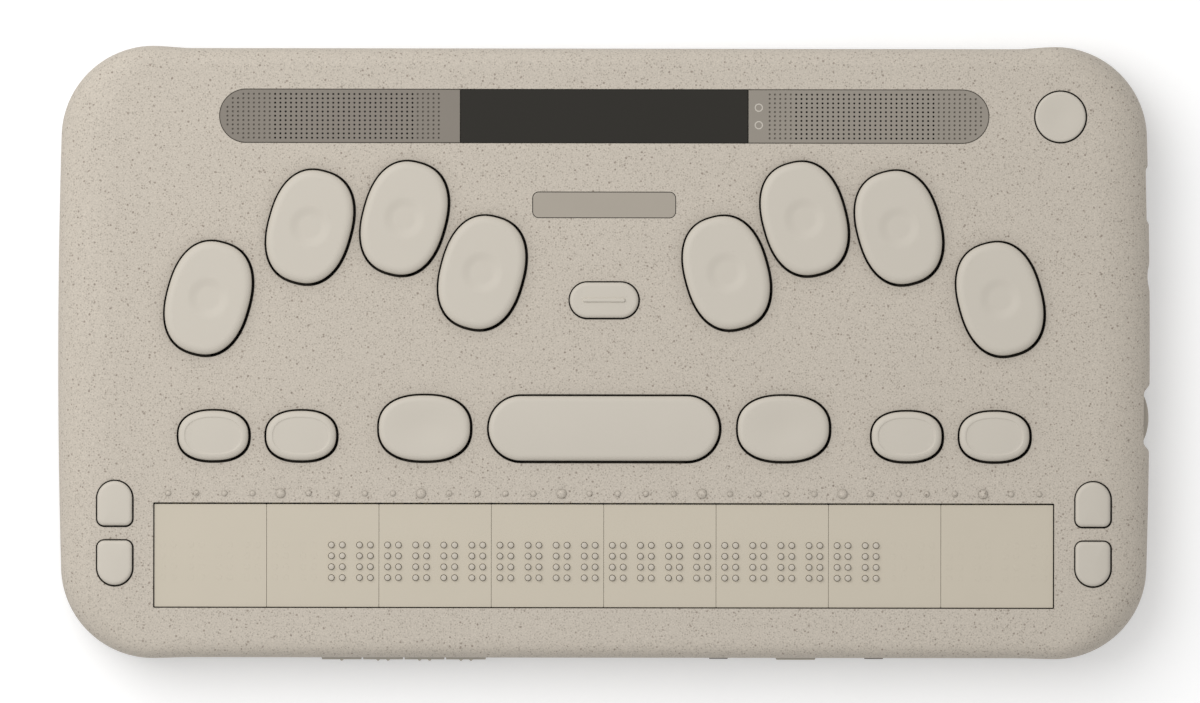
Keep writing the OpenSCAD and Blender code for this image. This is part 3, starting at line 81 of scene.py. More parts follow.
# Case. The ends swell by BULGE, and the long sides dip between the corners.
BULGE = 0.7
DIP = 0.5
FRONT_DIP = 0.2
DIP_RAMP = 9.0
CORNER = 21.0
WALL = 2.2
ROOF = 2.3

# How far the upper shell draws in at its ends and long sides, the powers of its roll, its inside
SHOULDER = (13.0, 5.5)
ROLL = (2.1, 3.4)
LINING = (8.0, 5.5)

# The same for the lower shell, outside and inside, with the height of each curve
BELLY = (7.0, 4.0, 7.0)
HOLLOW = (4.2, 1.2, 4.2)

# Broken edges at the split, inwards and upwards
EASE_IN, EASE_UP = 0.18, 0.22

# Heights and half sizes that the frame gives
HALF_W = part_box("bottom_case")[1].x / MM - BULGE
HALF_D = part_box("bottom_case")[1].y / MM
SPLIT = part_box("bottom_case")[1].z / MM
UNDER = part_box("bottom_case")[0].z / MM
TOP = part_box("lcd_window")[1].z / MM
LID = TOP - SPLIT
CORNER_X = HALF_W - CORNER
CORNER_Y = HALF_D - CORNER

# Keys. The gaps lie a little to the right of and before the keys, by GAP_SHIFT for each mm of rise.
DOT_KEY = (18.6, 25.9)
FUNCTION_KEY = (15.95, 11.3)
EDIT_KEY = (20.8, 14.85)
SPACE_KEY = (52.6, 14.75)
HOME_KEY = (15.7, 8.1)
SCROLL_KEY = (8.0, 10.2, 1.6)
POWER_R = 5.75
KEY_GAP = 0.48
GAP_SHIFT = 0.08
SMALL_GAP = 0.3
KEY_LIP = 0.12
STEM_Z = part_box("space_bar")[0].z / MM
TAB_Z = STEM_Z + 1.0
TAB_T = 1.5
STEM_D = 3.6
OVAL_POWER = 2.38
PAD_IN, PAD_SLOPE, PAD_DEPTH = 1.35, 0.24, 0.13
DOT_TILT = 15.4

# Braille line, with MODULE cells under each cap plate. Visible pins have the radius TIP_R.
CELL = 6.42
DOT = 2.49
CELLS = 32
MODULE = 4
PIN_R = 0.75
TIP_R = 0.64
PIN_CLEAR = 0.1
FIRST_RAISED, LAST_RAISED = 7, 26
CAP_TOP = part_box("braille_caps")[1].z / MM
CAP_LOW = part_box("braille_caps")[0].z / MM
CAP_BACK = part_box("braille_caps")[1].y / MM
CAP_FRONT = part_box("braille_caps")[0].y / MM
CAP_MID = (CAP_BACK + CAP_FRONT) / 2
CAP_SEAM = 0.07
FIRST_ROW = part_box("raised_pins_1")[1].y / MM - PIN_R
INDEX_Y = CAP_BACK + 0.15 + 2.3

# Strip at the back, and the first place, the steps and the radius of its holes
STRIP_L, STRIP_D = 175.9, 12.3
STRIP_Y = (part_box("lcd_window")[0].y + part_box("lcd_window")[1].y) / 2 / MM
STRIP_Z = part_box("lcd_window")[0].z / MM
WINDOW = 65.8
HOLE_FIRST, HOLE_X, HOLE_Y, HOLE_R = 37.8, 1.207, 1.0, 0.23


# Outlines, each a closed run of points that turns to the left

# Steps of a quarter of the case: along its end, round its corner and down into the dip
END_STEPS, CORNER_STEPS, DIP_STEPS = 12, 24, 8


def arc(x, y, r, start, end, n):
    """Points of a round corner, with angles in degrees."""
    turns = [math.radians(start + (end - start) * i / n) for i in range(n + 1)]
    return [(x + r * math.cos(a), y + r * math.sin(a)) for a in turns]


def oval(l, d, inset, n=96):
    """Superellipse."""
    a, b, p = l / 2 - inset, d / 2 - inset, 2 / OVAL_POWER
    points = []
    for i in range(n):
        c, s = math.cos(math.tau * i / n), math.sin(math.tau * i / n)
        points.append((a * math.copysign(abs(c) ** p, c), b * math.copysign(abs(s) ** p, s)))
    return points


def stadium(l, d, inset, n=24, sides=12):
    """Bar with round ends."""
    half, r = (l - d) / 2, d / 2 - inset
    run = [half - 2 * half * i / sides for i in range(1, sides)]
    return (arc(half, 0, r, -90, 90, n) + [(x, r) for x in run]
            + arc(-half, 0, r, 90, 270, n) + [(-x, -r) for x in run])


def round_box(l, d, r, inset=0.0, n=8):
    """Rectangle with round corners."""
    x, y, r = l / 2 - inset, d / 2 - inset, max(r - inset, 0.05)
    return (arc(x - r, r - y, r, -90, 0, n) + arc(x - r, y - r, r, 0, 90, n)
            + arc(r - x, y - r, r, 90, 180, n) + arc(r - x, r - y, r, 180, 270, n))


def arch(w, l, r, inset):
    """Rectangle whose far end is a half circle."""
    x, y, r = w / 2 - inset, l / 2 - inset, max(r - inset, 0.3)
    return (arc(x - r, r - y, r, -90, 0, 10) + arc(0, y - x, x, 0, 180, 40)
            + arc(r - x, r - y, r, 180, 270, 10))


def circle(r, n=48):
    return [(r * math.cos(math.tau * i / n), r * math.sin(math.tau * i / n)) for i in range(n)]


def smooth(t):
    """Soft step from 0 to 1."""
    t = min(max(t, 0.0), 1.0)
    return t * t * (3 - 2 * t)


def case_ring(ix, iy, z):
    """Outline of the case at a height, drawn in by ix at the ends and by iy at the long sides."""
    end = [(HALF_W - ix + BULGE * (1 - (i / END_STEPS) ** 2), CORNER_Y * i / END_STEPS)
           for i in range(END_STEPS)]
    for i in range(CORNER_STEPS + 1):
        a = math.radians(90 * i / CORNER_STEPS)
        end.append((CORNER_X + (CORNER - ix) * math.cos(a), CORNER_Y + (CORNER - iy) * math.sin(a)))
    back, front = [
        end + [(CORNER_X - DIP_RAMP * i / DIP_STEPS, HALF_D - iy - dip * smooth(i / DIP_STEPS))
               for i in range(1, DIP_STEPS + 1)] for dip in (DIP, FRONT_DIP)]
    ring = back + [(-x, y) for x, y in reversed(back)]
    ring += [(-x, -y) for x, y in front[1:]] + [(x, -y) for x, y in reversed(front[1:])]
    return [(x, y, z) for x, y in ring]


def drawn_in(t):
    """How far the ends and the long sides of the upper shell draw in at a share of its height."""
    return [s * (1 - (1 - t ** p) ** (1 / p)) for s, p in zip(SHOULDER, ROLL)]


def case_top(x, y):
    """Height of the outside of the upper shell."""
    dip = DIP if y > 0 else FRONT_DIP
    x, y = abs(x), abs(y)

    def outside(t):
        ix, iy = drawn_in(t)
        if x > CORNER_X and y > CORNER_Y:
            return math.hypot((x - CORNER_X) / (CORNER - ix), (y - CORNER_Y) / (CORNER - iy)) > 1
        end = HALF_W - ix + BULGE * max(1 - (y / CORNER_Y) ** 2, 0)
        side = HALF_D - iy - dip * smooth((CORNER_X - x) / DIP_RAMP)
        return x > end or y > side

    low, high = 0.0, 1.0
    if not outside(high):
        return TOP
    for _ in range(30):
        mid = (low + high) / 2
        low, high = (low, mid) if outside(mid) else (mid, high)
    return SPLIT + LID * low


# Meshes
SAME_PLACE = 1e-6
EDGE_ANGLE = 40


def loft(rings):
    """Closed solid through rings of equal length, listed from the bottom up."""
    n = len(rings[0])
    verts = [p for ring in rings for p in ring]
    faces = [tuple(reversed(range(n)))]
    for a in range(0, len(verts) - n, n):
        faces += [(a + i, a + (i + 1) % n, a + n + (i + 1) % n, a + n + i) for i in range(n)]
    faces.append(tuple(range(len(verts) - n, len(verts))))
    return verts, faces


def at(points, z):
    """Outline at a height."""
    return [(x, y, z) for x, y in points]


def block(low, high):
    """Box from one corner to another."""
    corners = [(low[0], low[1]), (high[0], low[1]), (high[0], high[1]), (low[0], high[1])]
    return loft([at(corners, low[2]), at(corners, high[2])])


def prism(points, low, high):
    """Upright solid on an outline."""
    return loft([at(points, low), at(points, high)])


def moved(shape, x=0.0, y=0.0, turn=0.0):
    """Shape turned about the upright axis by an angle in degrees and then moved."""
    c, s = math.cos(math.radians(turn)), math.sin(math.radians(turn))
    return [(x + c * p - s * q, y + s * p + c * q, z) for p, q, z in shape[0]], shape[1]


def joined(shapes):
    """Several shapes as one list of vertices and one of faces."""
    verts, faces = [], []
    for v, f in shapes:
        faces += [tuple(i + len(verts) for i in face) for face in f]
        verts += v
    return verts, faces


def shown(name, shape, sharp=32):
    """Object of a shape, smooth but for its sharp edges."""
    mesh = bpy.data.meshes.new(name)
    mesh.from_pydata([Vector(v) * MM for v in shape[0]], [], shape[1])
    obj = bpy.data.objects.new(name, mesh)
    bpy.context.scene.collection.objects.link(obj)
    return shaded(obj, sharp)


def shaded(obj, sharp=32):
    """Smooth shading up to an angle in degrees."""
    obj.data.shade_smooth()
    obj.data.set_sharp_from_angle(angle=math.radians(sharp))
    return obj


def combine(obj, shape, operation):
    """Cuts a shape out of an object, or joins it on."""
    tool = shown("tool", shape)
    mod = obj.modifiers.new("combine", "BOOLEAN")
    mod.operation, mod.solver, mod.object = operation, "EXACT", tool
    graph = bpy.context.evaluated_depsgraph_get()
    result = bpy.data.meshes.new_from_object(obj.evaluated_get(graph))
    obj.modifiers.clear()
    obj.data = result
    obj.data.name = obj.name
    bpy.data.objects.remove(tool)
    return shaded(obj)


def soften(obj, width=0.0):
    """Merges split corners, breaks sharp edges by a width and evens the shading."""
    weld = obj.modifiers.new("weld", "WELD")
    weld.merge_threshold = SAME_PLACE
    if width:
        bevel = obj.modifiers.new("edges", "BEVEL")
        bevel.width, bevel.segments = width * MM, 2
        bevel.limit_method, bevel.angle_limit = "ANGLE", math.radians(EDGE_ANGLE)
        bevel.use_clamp_overlap = True
        bevel.miter_outer = "MITER_ARC"
    normals = obj.modifiers.new("normals", "WEIGHTED_NORMAL")
    normals.keep_sharp = True
    return obj


def piece(obj, body, slot, materials, *nodes):
    """Puts a finished object on its body, with its materials and the nodes that it stands for."""
    obj.data.materials.clear()
    for m in materials:
        obj.data.materials.append(m)
    if body:
        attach(obj, body)
    if nodes:
        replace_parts(obj, *nodes)
    return obj


def centre(node):
    """Middle of a node in plan."""
    low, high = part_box(node)
    return (low.x + high.x) / 2 / MM, (low.y + high.y) / 2 / MM


def perforated(outline, holes, low, high, edge):
    """Closed plate on outline(inset), with holes that go right through where their depth is None.

    A hole is x, y, its radius, its bevel, its depth and its number of points.
    """
    verts, faces = [], []

    def add(points, z):
        start = len(verts)
        verts.extend(at(points, z))
        return list(range(start, len(verts)))

    def wall(a, b):
        n = len(a)
        faces.extend((a[i], a[(i + 1) % n], b[(i + 1) % n], b[i]) for i in range(n))

    def sheet(loops, flip):
        points, edges, owner = [], [], []
        for k, loop in enumerate(loops):
            n, first = len(loop), len(points)
            points += [Vector(verts[i][:2]) for i in loop]
            edges += [(first + i, first + (i + 1) % n) for i in range(n)]
            owner += [(k, i) for i in loop]
        found = delaunay_2d_cdt(points, edges, [], 1, 1e-7, True)
        source = [owner[ids[0]] for ids in found[3]]
        for tri in found[2]:
            loops_of = {source[i][0] for i in tri}
            if len(loops_of) == 1 and 0 not in loops_of:
                continue
            face = [source[i][1] for i in tri]
            faces.append(tuple(reversed(face)) if flip else tuple(face))

    top_loop = add(outline(edge), high)
    rim_loop = add(outline(0), high - edge)
    foot_loop = add(outline(0), low)
    wall(foot_loop, rim_loop)
    wall(rim_loop, top_loop)
    top_loops, foot_loops = [top_loop], [foot_loop]
    for x, y, r, bevel, depth, n in holes:
        ring = circle(1.0, n)
        mouth = add([(x + (r + bevel) * p, y + (r + bevel) * q) for p, q in ring], high)
        neck = mouth
        if bevel:
            neck = add([(x + r * p, y + r * q) for p, q in ring], high - bevel)
            wall(mouth, neck)
        top_loops.append(mouth)
        end = add([(x + r * p, y + r * q) for p, q in ring], high - depth if depth else low)
        wall(neck, end)
        if depth:
            faces.append(tuple(end))
        else:
            foot_loops.append(end)
    sheet(top_loops, False)
    sheet(foot_loops, True)
    return verts, faces


# Materials


def linear(r, g, b):
    """Linear colour of 8-bit screen values."""
    values = [c / 255 for c in (r, g, b)]
    return [c / 12.92 if c <= 0.04045 else ((c + 0.055) / 1.055) ** 2.4 for c in values] + [1.0]


class Look:
    """Node material with coordinates in mm that move with the piece."""

    def __init__(self, name, colour, rough, specular=0.5, metallic=0.0):
        self.material = bpy.data.materials.new(name)
        self.material.use_nodes = True
        self.tree = self.material.node_tree
        self.shader = self.tree.nodes["Principled BSDF"]
        self.shader.inputs["Base Color"].default_value = linear(*colour)
        self.shader.inputs["Roughness"].default_value = rough
        self.shader.inputs["Specular IOR Level"].default_value = specular
        self.shader.inputs["Metallic"].default_value = metallic
        place = self.node("ShaderNodeTexCoord")
        scale = self.node("ShaderNodeVectorMath", operation="SCALE")
        scale.inputs["Scale"].default_value = 1 / MM
        self.link(place.outputs["Object"], scale.inputs[0])
        self.place = scale.outputs["Vector"]
        self.colour = None
        self.base = linear(*colour)

    def node(self, kind, **settings):
        made = self.tree.nodes.new(kind)
        for key, value in settings.items():
            setattr(made, key, value)
        return made

    def link(self, a, b):
        self.tree.links.new(a, b)

    def noise(self, size, detail=2.0, rough=0.5, stretch=None):
        """Noise between about 0 and 1 with features of a size in mm."""
        n = self.node("ShaderNodeTexNoise")
        n.inputs["Scale"].default_value = 1.0 / size
        n.inputs["Detail"].default_value = detail
        n.inputs["Roughness"].default_value = rough
        source = self.place
        if stretch:
            m = self.node("ShaderNodeVectorMath", operation="MULTIPLY")
            m.inputs[1].default_value = stretch
            self.link(self.place, m.inputs[0])
            source = m.outputs["Vector"]
        self.link(source, n.inputs["Vector"])
        return n.outputs["Fac"]

    def spots(self, cell, radius, soft):
        """1 inside scattered round grains of up to a radius in mm, and 0 outside."""
        v = self.node("ShaderNodeTexVoronoi", feature="F1")
        v.inputs["Scale"].default_value = 1.0 / cell
        v.inputs["Randomness"].default_value = 1.0
        self.link(self.place, v.inputs["Vector"])
        size = self.node("ShaderNodeSeparateColor")
        self.link(v.outputs["Color"], size.inputs["Color"])
        grain = self.node("ShaderNodeMapRange")
        self.link(size.outputs["Red"], grain.inputs["Value"])
        grain.inputs["To Min"].default_value = 0.35 * radius / cell
        grain.inputs["To Max"].default_value = radius / cell
        gap = self.node("ShaderNodeMath", operation="SUBTRACT")
        self.link(grain.outputs["Result"], gap.inputs[0])
        self.link(v.outputs["Distance"], gap.inputs[1])
        mask = self.node("ShaderNodeMapRange")
        self.link(gap.outputs["Value"], mask.inputs["Value"])
        mask.inputs["From Min"].default_value = -soft / cell
        mask.inputs["From Max"].default_value = soft / cell
        return mask.outputs["Result"]

    def shade(self, amount, low, high, tint=(1.0, 1.0, 1.0)):
        """Multiplies the colour by a factor that goes from low to high with an amount."""
        span = self.node("ShaderNodeMapRange")
        self.link(amount, span.inputs["Value"])
        span.inputs["To Min"].default_value = low
        span.inputs["To Max"].default_value = high
        grey = self.node("ShaderNodeCombineColor")
        for channel, share in zip(("Red", "Green", "Blue"), tint):
            if share == 1.0:
                self.link(span.outputs["Result"], grey.inputs[channel])
            else:
                power = self.node("ShaderNodeMath", operation="POWER")
                self.link(span.outputs["Result"], power.inputs[0])
                power.inputs[1].default_value = share
                self.link(power.outputs["Value"], grey.inputs[channel])
        mix = self.node("ShaderNodeMix", data_type="RGBA", blend_type="MULTIPLY")
        mix.inputs[0].default_value = 1.0
        if self.colour is None:
            mix.inputs[6].default_value = self.base
        else:
            self.link(self.colour, mix.inputs[6])
        self.link(grey.outputs["Color"], mix.inputs[7])
        self.colour = mix.outputs[2]
        self.link(self.colour, self.shader.inputs["Base Color"])
        return self

    def painted_shade_near(self, reach, low):
        """Painted shade: darkens the colour where other surfaces stand close, within a reach in mm.
        """
        near = self.node("ShaderNodeAmbientOcclusion", samples=8)
        near.inputs["Distance"].default_value = reach * MM
        return self.shade(near.outputs["AO"], low, 1.0, (1.5, 1.5, 1.5))

    def roughen(self, amount, low, high):
        """Roughness that goes from low to high with an amount."""
        span = self.node("ShaderNodeMapRange")
        self.link(amount, span.inputs["Value"])
        span.inputs["To Min"].default_value = low
        span.inputs["To Max"].default_value = high
        self.link(span.outputs["Result"], self.shader.inputs["Roughness"])
        return self

    def bump(self, height, depth):
        """Relief of a depth in mm."""
        b = self.node("ShaderNodeBump")
        b.inputs["Strength"].default_value = 1.0
        b.inputs["Distance"].default_value = depth * MM
        self.link(height, b.inputs["Height"])
        self.link(b.outputs["Normal"], self.shader.inputs["Normal"])
        return self


def plastic(name, colour, rough=0.5, mottle=0.015, grain=0.25, relief=0.006, specular=0.4):
    """Moulded plastic with a fine texture and faint unevenness."""
    look = Look(name, colour, rough, specular)
    look.shade(look.noise(9.0, 3.0), 1 - 2 * mottle, 1 + 2 * mottle)
    fine = look.noise(grain, 2.0)
    look.shade(fine, 1 - mottle, 1 + mottle)
    look.roughen(fine, rough - 0.06, rough + 0.06)
    look.bump(fine, relief)
    return look.material


def speckled(name, colour):
    """Pale plastic with grey-brown grains in it, and painted shade where other surfaces stand
    close.
    """
    look = Look(name, colour, 0.6, 0.35)
    look.shade(look.noise(14.0, 3.0), 0.98, 1.02)
    look.shade(look.noise(0.34, 1.0, 0.5), 0.76, 1.24)
    look.shade(look.spots(0.52, 0.2, 0.04), 1.0, 0.72, (0.95, 1.0, 1.05))
    look.shade(look.spots(1.25, 0.27, 0.05), 1.0, 0.56, (0.9, 1.0, 1.05))
    # Painted shade round the keys, bumps and seams, from how close other surfaces stand
    look.painted_shade_near(4.0, 0.1)
    fine = look.noise(0.3, 2.0)
    look.roughen(fine, 0.54, 0.68)
    look.bump(fine, 0.02)
    return look.material


def metal(name, colour, rough):
    """Drawn metal with fine lines along x."""
    look = Look(name, colour, rough, 0.5, 1.0)
    fine = look.noise(0.4, 3.0, 0.6, (1.0, 8.0, 8.0))
    look.shade(fine, 0.93, 1.05)
    look.roughen(fine, rough - 0.08, rough + 0.1)
    look.bump(fine, 0.004)
    return look.material


def laminate(name, colour):
    """Lacquered board with a faint weave and a darker grid of tracks."""
    look = Look(name, colour, 0.35, 0.5)
    look.shade(look.noise(3.0, 2.0), 0.9, 1.1)
    tracks = look.noise(1.6, 1.0, 0.4, (0.25, 2.0, 1.0))
    look.shade(tracks, 0.8, 1.15)
    look.bump(tracks, 0.03)
    return look.material


# After the colour come roughness, mottle, size of grain, depth of relief and specular level
shell = speckled("speckled_shell", (196, 187, 174))
# Painted shade: a dark colour for the insides of the shells and the feet of the keys, which are of
# the same plastic as their outsides
painted_inside_shade = plastic("shell_painted_shade", (64, 57, 48), 0.8)
key = plastic("satin_key", (202, 195, 183), 0.5, 0.006, 0.3, 0.003, 0.3)
cap = plastic("cap_plate", (201, 192, 175), 0.5, 0.008, 0.4, 0.002, 0.3)
pin = plastic("braille_pin", (200, 192, 179), 0.6, 0.006, 0.3, 0.002, 0.25)
grille = plastic("grille", (148, 141, 131), 0.6, 0.012, 0.25, 0.006, 0.25)
# Painted shade: the left grille is a darker copy of the grille material
painted_shade_grille_left = plastic("painted_shade_grille_left", (134, 127, 118), 0.6, 0.012, 0.25, 0.006, 0.25)
window = plastic("dark_window", (47, 45, 41), 0.5, 0.01, 0.5, 0.001, 0.1)
plate = plastic("bare_plate", (168, 160, 148), 0.55, 0.012, 0.3, 0.004, 0.25)
SLOTS = {
    "shell": shell,
    "key": key,
    "cap": cap,
    "pin": pin,
    "grille": grille,
    "window": window,
    "plate": plate,
    "panel": plastic("text_panel", (26, 28, 28), 0.3, 0.02, 0.5, 0.001, 0.5),
    "light_guide": plastic("light_guide", (196, 189, 178), 0.4, 0.01, 0.4, 0.001, 0.4),
    "knob": plastic("slide_knob", (115, 110, 103), 0.5),
    "module": plastic("module_housing", (41, 40, 38), 0.6),
    "reed": metal("piezo_reed", (191, 174, 122), 0.4),
    "board": laminate("circuit_board", (25, 92, 56)),
    "keymat": plastic("silicone_mat", (104, 98, 90), 0.7, 0.02, 0.6, 0.01, 0.3),
    "battery": plastic("battery_wrap", (38, 38, 41), 0.4, 0.03, 0.8, 0.01),
    "speaker": plastic("speaker_frame", (51, 50, 49), 0.6),
    "port_metal": metal("port_steel", (191, 191, 196), 0.35),
    "jack": plastic("jack_body", (31, 31, 31), 0.5),
    "cable": plastic("flat_cable", (217, 216, 210), 0.45, 0.02, 0.6, 0.004),
    "foot": plastic("rubber_foot", (50, 49, 47), 0.85, 0.03, 0.4, 0.02, 0.25),
    "screw": metal("plated_screw", (178, 178, 183), 0.35),
}


# Upper shell
LIP_TURNS = [math.radians(a) for a in range(0, 75, 15)]


def shell_solid():
    """Hollow lid, from the middle of its roof inside to the middle of its top."""
    turns = [math.radians(90 * k / 28) for k in range(29)]
    rings = []
    for a in reversed(turns[::4]):
        ix, iy = [WALL + way * (1 - math.cos(a)) for way in LINING]
        rings.append(case_ring(ix, iy, SPLIT + (LID - ROOF) * math.sin(a)))
    rings.append(case_ring(EASE_IN, EASE_IN, SPLIT))
    for a in turns:
        t = math.sin(a) ** 0.5
        ease = EASE_UP if a == 0 else 0.0
        rings.append(case_ring(*drawn_in(t), SPLIT + LID * t + ease))
    return loft(rings)


def opening(outline, low, gap, lip, follow=False, x=0.0, y=0.0, turn=0.0, ledge=None):
    """Cutter for a hole whose upper edge is rounded. It can follow the shell where that curves.

    A ledge is how far the hole is narrower below a height, and that height.
    """
    over = 0.4
    rings = []
    if ledge:
        rings += [at(outline(ledge[0]), low), at(outline(ledge[0]), ledge[1])]
        low = ledge[1]
    rings.append(at(outline(-gap), low))
    for t in LIP_TURNS:
        rings.append(at(outline(-gap - lip * (1 - math.cos(t))), TOP - lip * (1 - math.sin(t))))
    last = LIP_TURNS[-1]
    out = lip * (1 - math.cos(last)) + (over + lip * (1 - math.sin(last))) * math.tan(last)
    rings.append(at(outline(-gap - out), TOP + over))
    verts, faces = moved(loft(rings), x, y, turn)
    if follow:
        verts = [(p, q, z + (case_top(p, q) - TOP if z > SPLIT + 1 else 0)) for p, q, z in verts]
    return verts, faces


KEYS = {}


def known_key(name, outline, rise, turn=0.0, tabs=(4.0, 4.0), stems=(0.0,), follow=False):
    """Notes a key's outline, its rise above the case, its turn, its tabs and its stems along x."""
    KEYS[name] = dict(outline=outline, rise=rise, turn=turn, tabs=tabs, stems=stems, follow=follow)


for i in range(1, 9):
    name = "dot_key_%d" % i
    turn = -DOT_TILT if centre(name)[0] < 0 else DOT_TILT
    known_key(name, lambda inset: oval(*DOT_KEY, inset), 1.5, turn, tabs=(8.0, 28.6))
for i in range(1, 5):
    known_key("function_key_%d" % i, lambda inset: oval(*FUNCTION_KEY, inset), 1.2,
              tabs=(7.97, 14.0))
for name in ("backspace_key", "enter_key"):
    known_key(name, lambda inset: oval(*EDIT_KEY, inset), 1.2, tabs=(10.4, 17.55))
known_key("space_bar", lambda inset: stadium(*SPACE_KEY, inset, 32, 24), 1.2, tabs=(36.82, 17.45),
          stems=(-15.78, 15.78))
known_key("home_key", lambda inset: stadium(*HOME_KEY, inset, 32, 8), 0.6, tabs=(18.4, 4.86))
for side in ("left", "right"):
    for end, turn in (("_scroll_up", 0), ("_scroll_down", 180)):
        known_key(side + end, lambda inset: arch(*SCROLL_KEY, inset), 0.6, turn, tabs=(4.0, 12.9),
                  follow=True)
known_key("power_button", lambda inset: circle(POWER_R - inset, 96), 0.3, tabs=(14.2, POWER_R))

# Openings for the keys, the braille line, the strip and the small plate
BELOW = SPLIT - 2
DISPLAY = (CELLS * CELL + 0.4, CAP_BACK - CAP_FRONT + 0.54)
PLATE = (32.7, 5.9, 1.4)
cutters = []
for name, k in KEYS.items():
    x, y = centre(name)
    gap = KEY_GAP if k["rise"] > 1 else SMALL_GAP
    shift = GAP_SHIFT * k["rise"]
    cutters.append(opening(k["outline"], BELOW, gap, KEY_LIP, k["follow"], x + shift, y - shift,
                           k["turn"]))
cutters.append(opening(lambda inset: round_box(*DISPLAY, 0.25, inset, 4), BELOW, 0, 0.15,
                       y=CAP_MID + 0.05))
cutters.append(opening(lambda inset: stadium(STRIP_L, STRIP_D, inset, 32, 2), BELOW, 0, 0.18,
                       y=STRIP_Y, ledge=(1.5, STRIP_Z)))
cutters.append(opening(lambda inset: round_box(*PLATE, inset), TOP - 0.6, 0.05, 0.12,
                       y=centre("nameplate")[1]))

# Hollows in the right end, which run through both shells


def notch(y, half, ramp, depth, low, rise):
    """Cutter for a hollow that fades out at its lower end and at both sides."""
    clear, out = 0.03, HALF_W + 3
    steps = [half * (i / 16 - 1) for i in range(33)]
    rings = []
    for k in range(9):
        deep = clear + (depth - clear) * smooth(k / 7)
        z = low + rise * k / 7 if k < 8 else TOP + 1
        run = []
        for t in steps:
            edge = HALF_W + clear + BULGE * (1 - ((y + t) / CORNER_Y) ** 2)
            run.append((edge - deep * smooth((half - abs(t)) / ramp), y + t))
        rings.append(at([(out, y - half), (out, y + half)] + run[::-1], z))
    return loft(rings)


USB_Y, JACK_Y, ROCKER_Y = 36.2, 17.5, -14.8
notches = [notch(USB_Y, 6.9, 1.3, 0.6, SPLIT - 8, 1.4),
           notch(JACK_Y, 3.9, 3.4, 0.55, SPLIT - 8, 1.6),
           notch(ROCKER_Y, 8.0, 2.4, 1.45, SPLIT - 10.8, 2.6)]


def paint_inside_shade(obj, low, high, up):
    """Gives the faces inside a shell the second material, a painted shade. Up is 1 for a tub and -1
    for a lid.
    """
    far_x, far_y = HALF_W - WALL + 0.01, HALF_D - FRONT_DIP - WALL + 0.01
    for face in obj.data.polygons:
        c, n = face.center / MM, face.normal
        within = low < c.z < high and abs(c.x) < far_x and abs(c.y) < far_y
        inward = n.z * up > 0.9 or n.x * c.x + n.y * c.y < 0
        face.material_index = 1 if within and inward else 0


top = shown("shell_top", shell_solid())
combine(top, joined(cutters + notches), "DIFFERENCE")
piece(top, "case", "shell", [shell, painted_inside_shade], "top_case")
paint_inside_shade(top, SPLIT, TOP - ROOF + 0.01, -1)
soften(top)

# Lower shell


def tub_solid():
    """Hollow tub, from its underside up to the split and down to its floor inside."""
    turns = [math.radians(90 * k / 14) for k in range(15)]
    rings = []
    for a in reversed(turns):
        ix, iy = [way * (1 - math.cos(a)) for way in BELLY[:2]]
        rings.append(case_ring(ix, iy, UNDER + BELLY[2] * (1 - math.sin(a))))
    rings.append(case_ring(0, 0, SPLIT - EASE_UP))
    rings.append(case_ring(EASE_IN, EASE_IN, SPLIT))
    rings.append(case_ring(WALL, WALL, SPLIT))
    for a in turns[::2]:
        ix, iy = [WALL + way * (1 - math.cos(a)) for way in HOLLOW[:2]]
        rings.append(case_ring(ix, iy, UNDER + WALL + HOLLOW[2] * (1 - math.sin(a))))
    return loft(rings)


def port(outline, side, place, z, depth=4.0, lip=0.15):
    """Cutter for a hole with a soft edge through the front, the back or the right wall."""
    rings = [at(outline(0), -depth)]
    for t in LIP_TURNS:
        rings.append(at(outline(-lip * (1 - math.cos(t))), -lip * (1 - math.sin(t))))
    rings.append(at(outline(-1.2), 1.0))
    verts, faces = loft(rings)
    if side == "front":
        return [(place + u, FRONT_DIP - HALF_D - w, z + v) for u, v, w in verts], faces
    if side == "back":
        return [(place - u, HALF_D - DIP + w, z + v) for u, v, w in verts], faces
    end = HALF_W + BULGE * (1 - (place / CORNER_Y) ** 2)
    return [(end + w, place + u, z + v) for u, v, w in verts], faces


def slot(l, h):
    """Outline of a hole for a control."""
    return lambda inset: round_box(l, h, 0.3, inset, 4)


# Holes for the media buttons, the front button, the two switches, the ports and the rocker
CONTROL_Z = 9.0
PORTS = [
    (slot(38.0, 5.5), "front", -45.8, CONTROL_Z),
    (slot(9.56, 5.5), "front", 44.0, CONTROL_Z),
    (slot(8.9, 4.3), "front", 26.3, CONTROL_Z),
    (slot(8.9, 4.3), "front", 61.9, CONTROL_Z),
    (lambda inset: stadium(9.14, 3.46, inset), "back", 60.0, 7.63, 5.0),
    (slot(13.3, 5.9), "right", USB_Y, 8.85),
    (lambda inset: circle(2.6 - inset), "right", JACK_Y, 8.5),
    (slot(11.5, 5.5), "right", ROCKER_Y, CONTROL_Z),
]
cutters = [port(*hole) for hole in PORTS]

